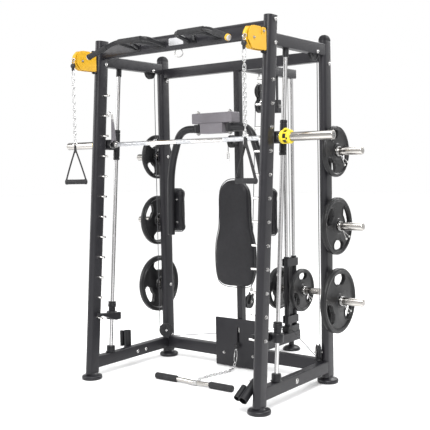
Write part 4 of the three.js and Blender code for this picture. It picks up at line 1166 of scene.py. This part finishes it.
# ------------------------------------------------------------------ pulleys and cables
HOUSING = [(-0.291, 2.002), (-0.302, 1.9985), (-0.372, 1.9975), (-0.424, 1.9985), (-0.459, 2.04),
           (-0.459, 2.062), (-0.452, 2.09), (-0.43, 2.117), (-0.402, 2.1215), (-0.345, 2.1215),
           (-0.336, 2.112), (-0.326, 2.1215), (-0.303, 2.1215), (-0.2905, 2.106)]


def soft_outline(points, radius=0.012):
    loop = [Vector((u, v, 0)) for u, v in points]
    path = fillet([*loop, loop[0], loop[1]], radius, 5)[1:-1]
    return [(p.x, p.y) for p in path]


def swivel(name, side):
    x = side * SIDE_X
    body = f"swivel_{name}"
    outline = soft_outline(HOUSING, 0.007)
    shape = Shape()
    for x0 in (x - 0.02, x + 0.0145):
        shape.prism(outline, along_x, x0, x0 + 0.0055)
    shape.prism(rounded(x - 0.0195, x + 0.0195, -0.306, -0.2915, 0.002), along_z, 1.999, 2.1195)
    cheeks = shape.piece(f"swivel_cheeks_{name}", AMBER, body=body, cad=[f"swivel_housing_{name}"])
    slot = Shape().prism(rounded(-0.3415, -0.3315, 2.076, 2.13, 0.0045), along_x, x - 0.03, x + 0.03)
    cut(cheeks, slot)
    soften(cheeks)
    clevis = Shape()
    oval(clevis, at(x, -0.474, 2.048), Y, 0.011, 0.016, 0.003)
    oval(clevis, at(x, -0.47, 2.06), X, 0.013, 0.009, 0.0028)
    clevis.piece(f"swivel_clevis_{name}", STEEL, body=body)
    bolts(f"swivel_bolts_{name}", [(at(x + s * 0.02, yy, zz), s * X) for s in (-1, 1)
                                   for yy, zz in ((SWIVEL_Y, SWIVEL_Z), (-0.318, 2.1))], 0.014, 0.006, body)
    wheel_body = f"swivel_wheel_{name}"
    pulley(f"swivel_pulley_{name}", at(x, SWIVEL_Y, SWIVEL_Z), X, 0.06, 0.053, 0.012, wheel_body,
           [f"swivel_wheel_{name}"], AMBER)
    handle(name, side)


HANDLE_TURN = {"left": 32, "right": -4}


def oval(shape, centre, across, half_width, half_height, wire, up=Z):
    """A closed wire loop: half_width along across, half_height along up."""
    points = [centre + across * half_width * math.sin(t) + up * half_height * math.cos(t)
              for t in circle(28)]
    shape.sweep(points, wire, 10, closed=True)


def handle(name, side):
    x = side * SIDE_X
    body = f"handle_{name}"
    y = STOP_Y
    ball = Shape().ball(at(x, y, STOP_Z), 0.0155, 28)
    ball.lathe([(0.008, 0), (0.0095, 0.002), (0.0085, 0.016), (0.005, 0.02)], at(x, y, 2.0065), -Z, 24)
    ball.piece(f"cable_ball_{name}", NYLON, body=body)
    hook = Shape()
    oval(hook, at(x, y, 1.972), X, 0.01, 0.024, 0.0032)
    chain(hook, [at(x, y, 1.954), at(x, y, 1.564)], 0.025, 0.0027, 0.008)
    oval(hook, at(x, y, 1.553), Y, 0.0065, 0.016, 0.0028)
    oval(hook, at(x, y, 1.53), X, 0.016, 0.012, 0.003)
    hook.piece(f"handle_chain_{name}", ZINC, body=body, cad=[f"cable_handle_{name}"])
    turn = Matrix.Rotation(math.radians(HANDLE_TURN[name]), 3, "Z")

    def p(u, v, z):
        return at(x, y, z) + turn @ Vector((u, v, 0))

    wide, thin = 0.0105, 0.0026
    strap = Shape()
    for s in (-1, 1):
        path = spline([p(s * u, 0, z) for u, z in ((0.0022, 1.524), (0.003, 1.492), (0.011, 1.466),
                                                   (0.03, 1.41), (0.049, 1.35), (0.061, 1.31),
                                                   (0.0665, 1.291))], 4)
        rings = []
        for q in path:
            corners = ((-thin, -wide), (thin, -wide), (thin, wide), (-thin, wide))
            rings.append(strap.ring([q + turn @ Vector((u, v, 0)) for u, v in corners]))
        strap.skin(rings)
    strap.prism(rounded(-0.0062, 0.0062, -0.0105, 0.0105, 0.003), p, 1.474, 1.49)
    strap.piece(f"handle_strap_{name}", STRAP, 0.0004, body)
    grip = Shape()
    profile = [(0.0125, 0), (0.0168, 0.003), (0.0172, 0.01), (0.0155, 0.02), (0.015, 0.07), (0.0155, 0.12),
               (0.0172, 0.13), (0.0168, 0.137), (0.0125, 0.14)]
    grip.lathe(profile, p(-0.07, 0, GRIP_Z), turn @ X, 32)
    for k in range(7):
        u = -0.04 + 0.012 * k
        grip.lathe([(0.0146, 0), (0.0158, 0.0015), (0.0158, 0.0035), (0.0146, 0.005)], p(u, 0, GRIP_Z),
                   turn @ X, 32)
    grip.piece(f"handle_grip_{name}", GRIP, 0.0006, body)


def low_centre(side):
    start = Vector((side * SIDE_X, CABLE_Y))
    along = (Vector((0, SLED_Y)) - start).normalized()
    return start + along * WHEEL_RUN, along


def side_cable(name, side):
    centre, along = low_centre(side)
    path = [at(side * SIDE_X, CABLE_Y, TOP_WHEEL_Z), at(side * SIDE_X, CABLE_Y, LOW_WHEEL_Z)]
    for i in range(1, 11):
        a = math.pi / 2 * i / 10
        u = -WHEEL_RUN * math.cos(a)
        path.append(at(centre.x + along.x * u, centre.y + along.y * u,
                       LOW_WHEEL_Z - WHEEL_RUN * math.sin(a)))
    length = (abs(centre.x) - 0.035) / abs(along.x)
    path.append(at(centre.x + along.x * length, centre.y + along.y * length, LOW_WHEEL_Z - WHEEL_RUN))
    shape = Shape().sweep(path, CABLE_R, 12)
    over = [at(side * SIDE_X, TOP_WHEEL_Y + WHEEL_RUN * math.cos(t), TOP_WHEEL_Z + WHEEL_RUN * math.sin(t))
            for t in (math.pi * i / 16 for i in range(1, 9))]
    shape.sweep([at(side * SIDE_X, CABLE_Y, TOP_WHEEL_Z), *over], CABLE_R, 12)
    shape.piece(f"cable_run_{name}", WIRE, cad=[f"side_cable_{name}"])


for name, side in SIDES:
    swivel(name, side)
    side_cable(name, side)
    pulley(f"top_pulley_{name}", at(side * SIDE_X, TOP_WHEEL_Y, TOP_WHEEL_Z), X, 0.049, 0.039, 0.01,
           f"top_wheel_{name}", [f"top_wheel_{name}"])
    centre, along = low_centre(side)
    across = Vector((-along.y, along.x, 0))
    hub = at(centre.x, centre.y, LOW_WHEEL_Z)
    pulley(f"low_pulley_{name}", hub, across, 0.049, 0.039, 0.01, f"low_wheel_{name}",
           [f"low_wheel_{name}"])
    axle(f"low_axle_{name}", hub, across, 0.017)
    bracket = Shape()
    flat = Vector((along.x, along.y, 0))
    for way in (-1, 1):
        middle = hub + across * way * 0.0145
        outline = rounded(-0.015, 0.015, -0.058, 0.017, 0.008)
        bracket.skin([bracket.ring([middle + flat * u + Z * v + across * w for u, v in outline])
                      for w in (-0.002, 0.002)])
    bracket.skin([bracket.ring([Vector((hub.x, hub.y, z)) + flat * u + across * w
                                for u, w in ((-0.017, -0.0165), (0.017, -0.0165), (0.017, 0.0165),
                                             (-0.017, 0.0165))]) for z in (0.1415, 0.1486)])
    bracket.piece(f"low_bracket_{name}", BLACK, 0.0008)

lift = Shape()
LIFT_LOW, LIFT_TOP, LIFT_TRAVEL = 0.6885, 2.0066, 1.2
lift.rod(at(0, SLED_Y, LIFT_LOW), at(0, SLED_Y, LIFT_TOP), CABLE_R, 12)
lift_wire = lift.piece("lift_cable_wire", WIRE, cad=["lift_cable"])
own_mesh(lift_wire)


def hanging():
    shape = Shape()
    for x in (-0.014, 0.01):
        shape.prism(rounded(0.624, 0.656, 1.76, 1.936, 0.01), along_x, x, x + 0.004)
    shape.piece("hanging_cheeks", BLACK, 0.0008, cad=["hanging_pulley"])
    for i, z in enumerate((1.884, 1.784)):
        pulley(f"hanging_wheel_{i}", at(0, HANGING_Y, z), X, 0.047, 0.041, 0.0095, "frame")
        axle(f"hanging_axle_{i}", at(0, HANGING_Y, z), X, 0.0145)
    white = Shape().lathe([(0.009, 0), (0.012, 0.002), (0.012, 0.03), (0.0105, 0.034), (0.0105, 0.046),
                           (0.006, 0.05)], at(0, HANGING_Y, 1.938), Z, 28)
    white.piece("hanging_connector", WHITE, 0.0006)
    Shape().rod(at(0, HANGING_Y, 1.985), at(0, HANGING_Y, 2.0068), 0.0035, 12).piece("hanging_wire", WIRE)
    low = Shape()
    y, z = 0.478, 0.44
    for x in (-0.015, 0.011):
        low.prism([(y - 0.018, z - 0.014), (y + 0.016, z - 0.018), (y + 0.04, z + 0.05),
                   (y + 0.036, z + 0.064), (y + 0.018, z + 0.062)], along_x, x, x + 0.004)
    low.piece("low_block_cheeks", BLACK, 0.001, cad=["low_pulley_block"])
    pulley("low_block_wheel", at(0, y, z), X, 0.047, 0.041, 0.0095, "frame")
    axle("low_block_axle", at(0, y, z), X, 0.0155)
    white = Shape()
    top = at(0, y + 0.03, z + 0.062)
    white.lathe([(0.008, 0), (0.0105, 0.002), (0.0105, 0.024), (0.009, 0.028), (0.005, 0.032)], top, Z, 28)
    white.piece("low_block_connector", WHITE, 0.0006)
    Shape().rod(top + 0.03 * Z, at(0, 0.59, 1.778), CABLE_R, 12).piece("low_block_cable", WIRE)


hanging()


# ------------------------------------------------------------------ low row
def row():
    Shape().ball(at(0, 0.318, 0.159), 0.0145, 28).piece("row_ball", NYLON, body="row_bar")
    bush = Shape()
    ring_section = ((0.0165, 0), (0.0215, 0.0004), (0.0215, 0.003), (0.0165, 0.0036))
    bush.skin([bush.ring([at(r * math.cos(t), 0.3418 - h, 0.159 + r * math.sin(t)) for t in circle(32)])
               for r, h in ring_section], closed=True)
    bush.piece("row_bush", BLACK)
    steel = Shape()
    link_top, link_end = at(0, 0.315, 0.143), at(0, 0.3, 0.048)
    fall = (link_end - link_top).normalized()
    oval(steel, (link_top + link_end) / 2, X, 0.0115, 0.047, 0.0026, fall)
    steel.rod(link_top + fall * 0.03 - 0.0085 * X, link_top + fall * 0.056 - 0.0107 * X, 0.004, 14)
    route = spline([link_end, at(-0.004, 0.291, 0.024), at(-0.006, 0.262, 0.01), at(-0.003, 0.222, 0.0075),
                    at(-0.02, 0.155, 0.0075), at(-0.038, 0.09, 0.0075), at(-0.034, 0.022, 0.01)], 10)
    chain(steel, route, 0.021, 0.0022, 0.0064)
    oval(steel, at(-0.037, -0.01, 0.012), X, 0.012, 0.034, 0.003, Y)
    lead = (at(0.012, -0.112, 0.02) - at(-0.038, -0.04, 0.012)).normalized()
    oval(steel, at(-0.013, -0.076, 0.016), lead.cross(Z), 0.009, 0.046, 0.0026, lead)
    steel.piece("row_chain", ZINC, body="row_bar", cad=["row_bar"])
    left, right = at(-0.311, -0.15, 0.0218), at(0.2995, -0.134, 0.0218)
    span = right - left
    direction = span.normalized()
    bar = Shape()
    dip = Vector((0.004, -0.01, 0))
    bar.sweep(spline([left + span * 0.02, left + span * 0.3, left + span * 0.42 + dip * 0.3,
                      left + span * 0.51 + dip, left + span * 0.6 + dip * 0.3, left + span * 0.72,
                      left + span * 0.98], 8), 0.013, 28)
    bar.piece("row_bar_steel", LEVEL_CHROME_PAINTED_REFLECTION, body="row_bar")
    grips = Shape()
    for t0, t1 in ((0.0, 0.295), (0.706, 1.0)):
        start = left + span * t0
        length = span.length * (t1 - t0)
        ends = [(0.01, 0.0), (0.015, 0.0015), (0.0192, 0.006), (0.0212, 0.013), (0.0206, 0.022)]
        body = [(0.0203, length * k / 6) for k in range(1, 6)]
        grips.lathe([*ends, *body, *[(r, length - h) for r, h in reversed(ends)]], start, direction, 36)
        for k in range(14):
            ridge = length * (0.16 + 0.68 * k / 13)
            profile = [(0.0201, 0), (0.0208, 0.0015), (0.0208, 0.004), (0.0201, 0.0055)]
            grips.lathe(profile, start + direction * ridge, direction, 36)
    grips.piece("row_bar_grips", GRIP, 0.0006, "row_bar")
    eye = Shape()
    middle = left + span * 0.535 + dip
    eye.lathe([(0.0118, 0), (0.015, 0.002), (0.015, 0.03), (0.0118, 0.032)], middle - direction * 0.016,
              direction, 32)
    eye.sweep(spline([middle + Vector((-0.01, 0.012, 0.002)), middle + Vector((-0.009, 0.028, 0.002)),
                      middle + Vector((0.002, 0.035, 0.002)), middle + Vector((0.012, 0.027, 0.002)),
                      middle + Vector((0.012, 0.012, 0.002))], 6), 0.0032, 12)
    eye.piece("row_bar_eye", STEEL, 0.0008, "row_bar")


row()


# ------------------------------------------------------------------ landmine and bar holder
def hollow(shape, start, end, outer, inner, sides=36):
    axis = (end - start).normalized()
    length = (end - start).length
    u = axis.orthogonal().normalized()
    w = axis.cross(u)
    rings = []
    for r, h in ((outer, 0), (outer, length), (inner, length), (inner, 0)):
        rings.append(shape.ring([start + axis * h + r * (u * math.cos(t) + w * math.sin(t))
                                 for t in circle(sides)]))
    shape.skin(rings, closed=True)


def landmine():
    back, front = at(0.602, -0.334, 0.158), at(0.602, -0.461, 0.08)
    along = (front - back).normalized()
    shape = Shape()
    hollow(shape, back + along * 0.02, front, 0.026, 0.022)
    shape.rod(back + along * 0.012, back + along * 0.032, 0.024)
    offset = Vector((-0.045, 0, 0))
    hollow(shape, back + offset + along * 0.05, front + offset - along * 0.008, 0.02, 0.0165, 32)
    shape.lathe([(0.0078, 0), (0.016, 0.001), (0.017, 0.003), (0.017, 0.041), (0.016, 0.043),
                 (0.0078, 0.044)], back - 0.022 * X, X, 36)
    shape.piece("landmine_tubes", BLACK, 0.0008, "landmine", cad=["landmine"])
    pin = Shape().rod(back - 0.027 * X, back + 0.04 * X, 0.007, 20)
    hex_nut(pin, back - 0.027 * X, -X, 0.017, 0.008, 0.005)
    pin.piece("landmine_pin", STEEL, 0.0006)


def bar_holder():
    shape = Shape()
    big, small = (-0.7165, 0.012), (-0.746, -0.013)
    hollow(shape, at(*big, 0.076), at(*big, 0.242), 0.026, 0.022)
    hollow(shape, at(*small, 0.135), at(*small, 0.242), 0.013, 0.01, 24)
    shape.prism(rounded(-0.008, 0.132, 0.08, 0.132, 0.006), along_x, -0.692, -0.6845)
    shape.piece("bar_holder_tubes", BLACK, 0.0008)


landmine()
bar_holder()


# ------------------------------------------------------------------ round-headed bolts
def dome_bolts(name, places, radius=0.011):
    """Button heads on flat washers, each (centre, axis)."""
    shape = Shape()
    for centre, axis in places:
        shape.lathe([(radius * 1.15, 0), (radius * 1.15, 0.0014)], centre, axis, 28)
        shape.lathe([(radius, 0.0014), (radius * 0.98, 0.003), (radius * 0.84, 0.0054),
                     (radius * 0.55, 0.007), (radius * 0.38, 0.0074), (radius * 0.34, 0.005)], centre, axis,
                    28)
    return shape.piece(name, STEEL)


dome_bolts("base_rail_bolts", [(at(-0.66 + way * 0.025, y, 0.102), way * X) for way in (-1, 1)
                               for y in (0.028, 0.111)])
dome_bolts("landmine_rail_bolts", [(at(0.66 + way * 0.025, -0.025, 0.105), way * X) for way in (-1, 1)],
           0.0145)
CORNER_BOLTS = ((-0.203, 2.18), (-0.206, 2.051), (0.257, 2.049), (0.398, 1.99))
POST_NUTS = ((0.392, 1.448), (0.392, 0.988), (0.392, 0.523), (0.398, 0.152))
frame_bolts = []
for name, side in SIDES:
    outer = [(at(side * 0.685, y, z), side * X) for y, z in CORNER_BOLTS]
    inner = [(at(side * 0.635, y, z), -side * X) for y, z in (*CORNER_BOLTS[1:], *POST_NUTS)]
    frame_bolts += [*outer, *inner]
dome_bolts("upright_bolts", frame_bolts)


# ------------------------------------------------------------------ floor and light
def stage():
    mesh = bpy.data.meshes.new("floor")
    bm = bmesh.new()
    bmesh.ops.create_grid(bm, x_segments=1, y_segments=1, size=30)
    bm.to_mesh(mesh)
    bm.free()
    mesh.materials.append(floor_surface())
    obj = bpy.data.objects.new("floor", mesh)
    scene.collection.objects.link(obj)
    world = bpy.data.worlds.new("studio")
    scene.world = world
    world.use_nodes = True
    tree = world.node_tree
    background = tree.nodes["Background"]
    background.inputs["Strength"].default_value = 1.0
    place = tree.nodes.new("ShaderNodeTexCoord").outputs["Generated"]
    height = tree.nodes.new("ShaderNodeSeparateXYZ")
    tree.links.new(place, height.inputs["Vector"])
    sky = tree.nodes.new("ShaderNodeValToRGB")
    stops = sky.color_ramp.elements
    stops[0].position, stops[0].color = 0.0, (1, 1, 1, 1)
    stops[1].position, stops[1].color = 1.0, (1, 1, 1, 1)
    for place_z, grey in ((0.34, 1.0), (0.42, 0.3), (0.66, 0.22), (0.76, 0.95)):
        stops.new(place_z).color = (grey, grey, grey, 1)
    tree.links.new(height.outputs["Z"], sky.inputs["Fac"])
    tree.links.new(sky.outputs["Color"], background.inputs["Color"])
    sun = bpy.data.objects.new("overhead", bpy.data.lights.new("overhead", "SUN"))
    sun.data.energy = 1.5
    sun.data.angle = math.radians(70)
    sun.rotation_euler = (0.25, 0.2, 0)
    scene.collection.objects.link(sun)
    for name, place, energy, size in (("key", at(2.6, -3.2, 4.6), 300, 2.2),
                                      ("fill", at(-3.6, -2.4, 2.6), 90, 2.8),
                                      ("rim", at(0.5, 3.6, 3.6), 140, 2.6)):
        data = bpy.data.lights.new(name, "AREA")
        data.energy = energy
        data.shape = "DISK"
        data.size = size
        lamp = bpy.data.objects.new(name, data)
        scene.collection.objects.link(lamp)
        aim = (place - at(0, 0.2, 1.1)).to_track_quat("Z", "Y")
        lamp.matrix_world = Matrix.Translation(place) @ aim.to_matrix().to_4x4()


stage()
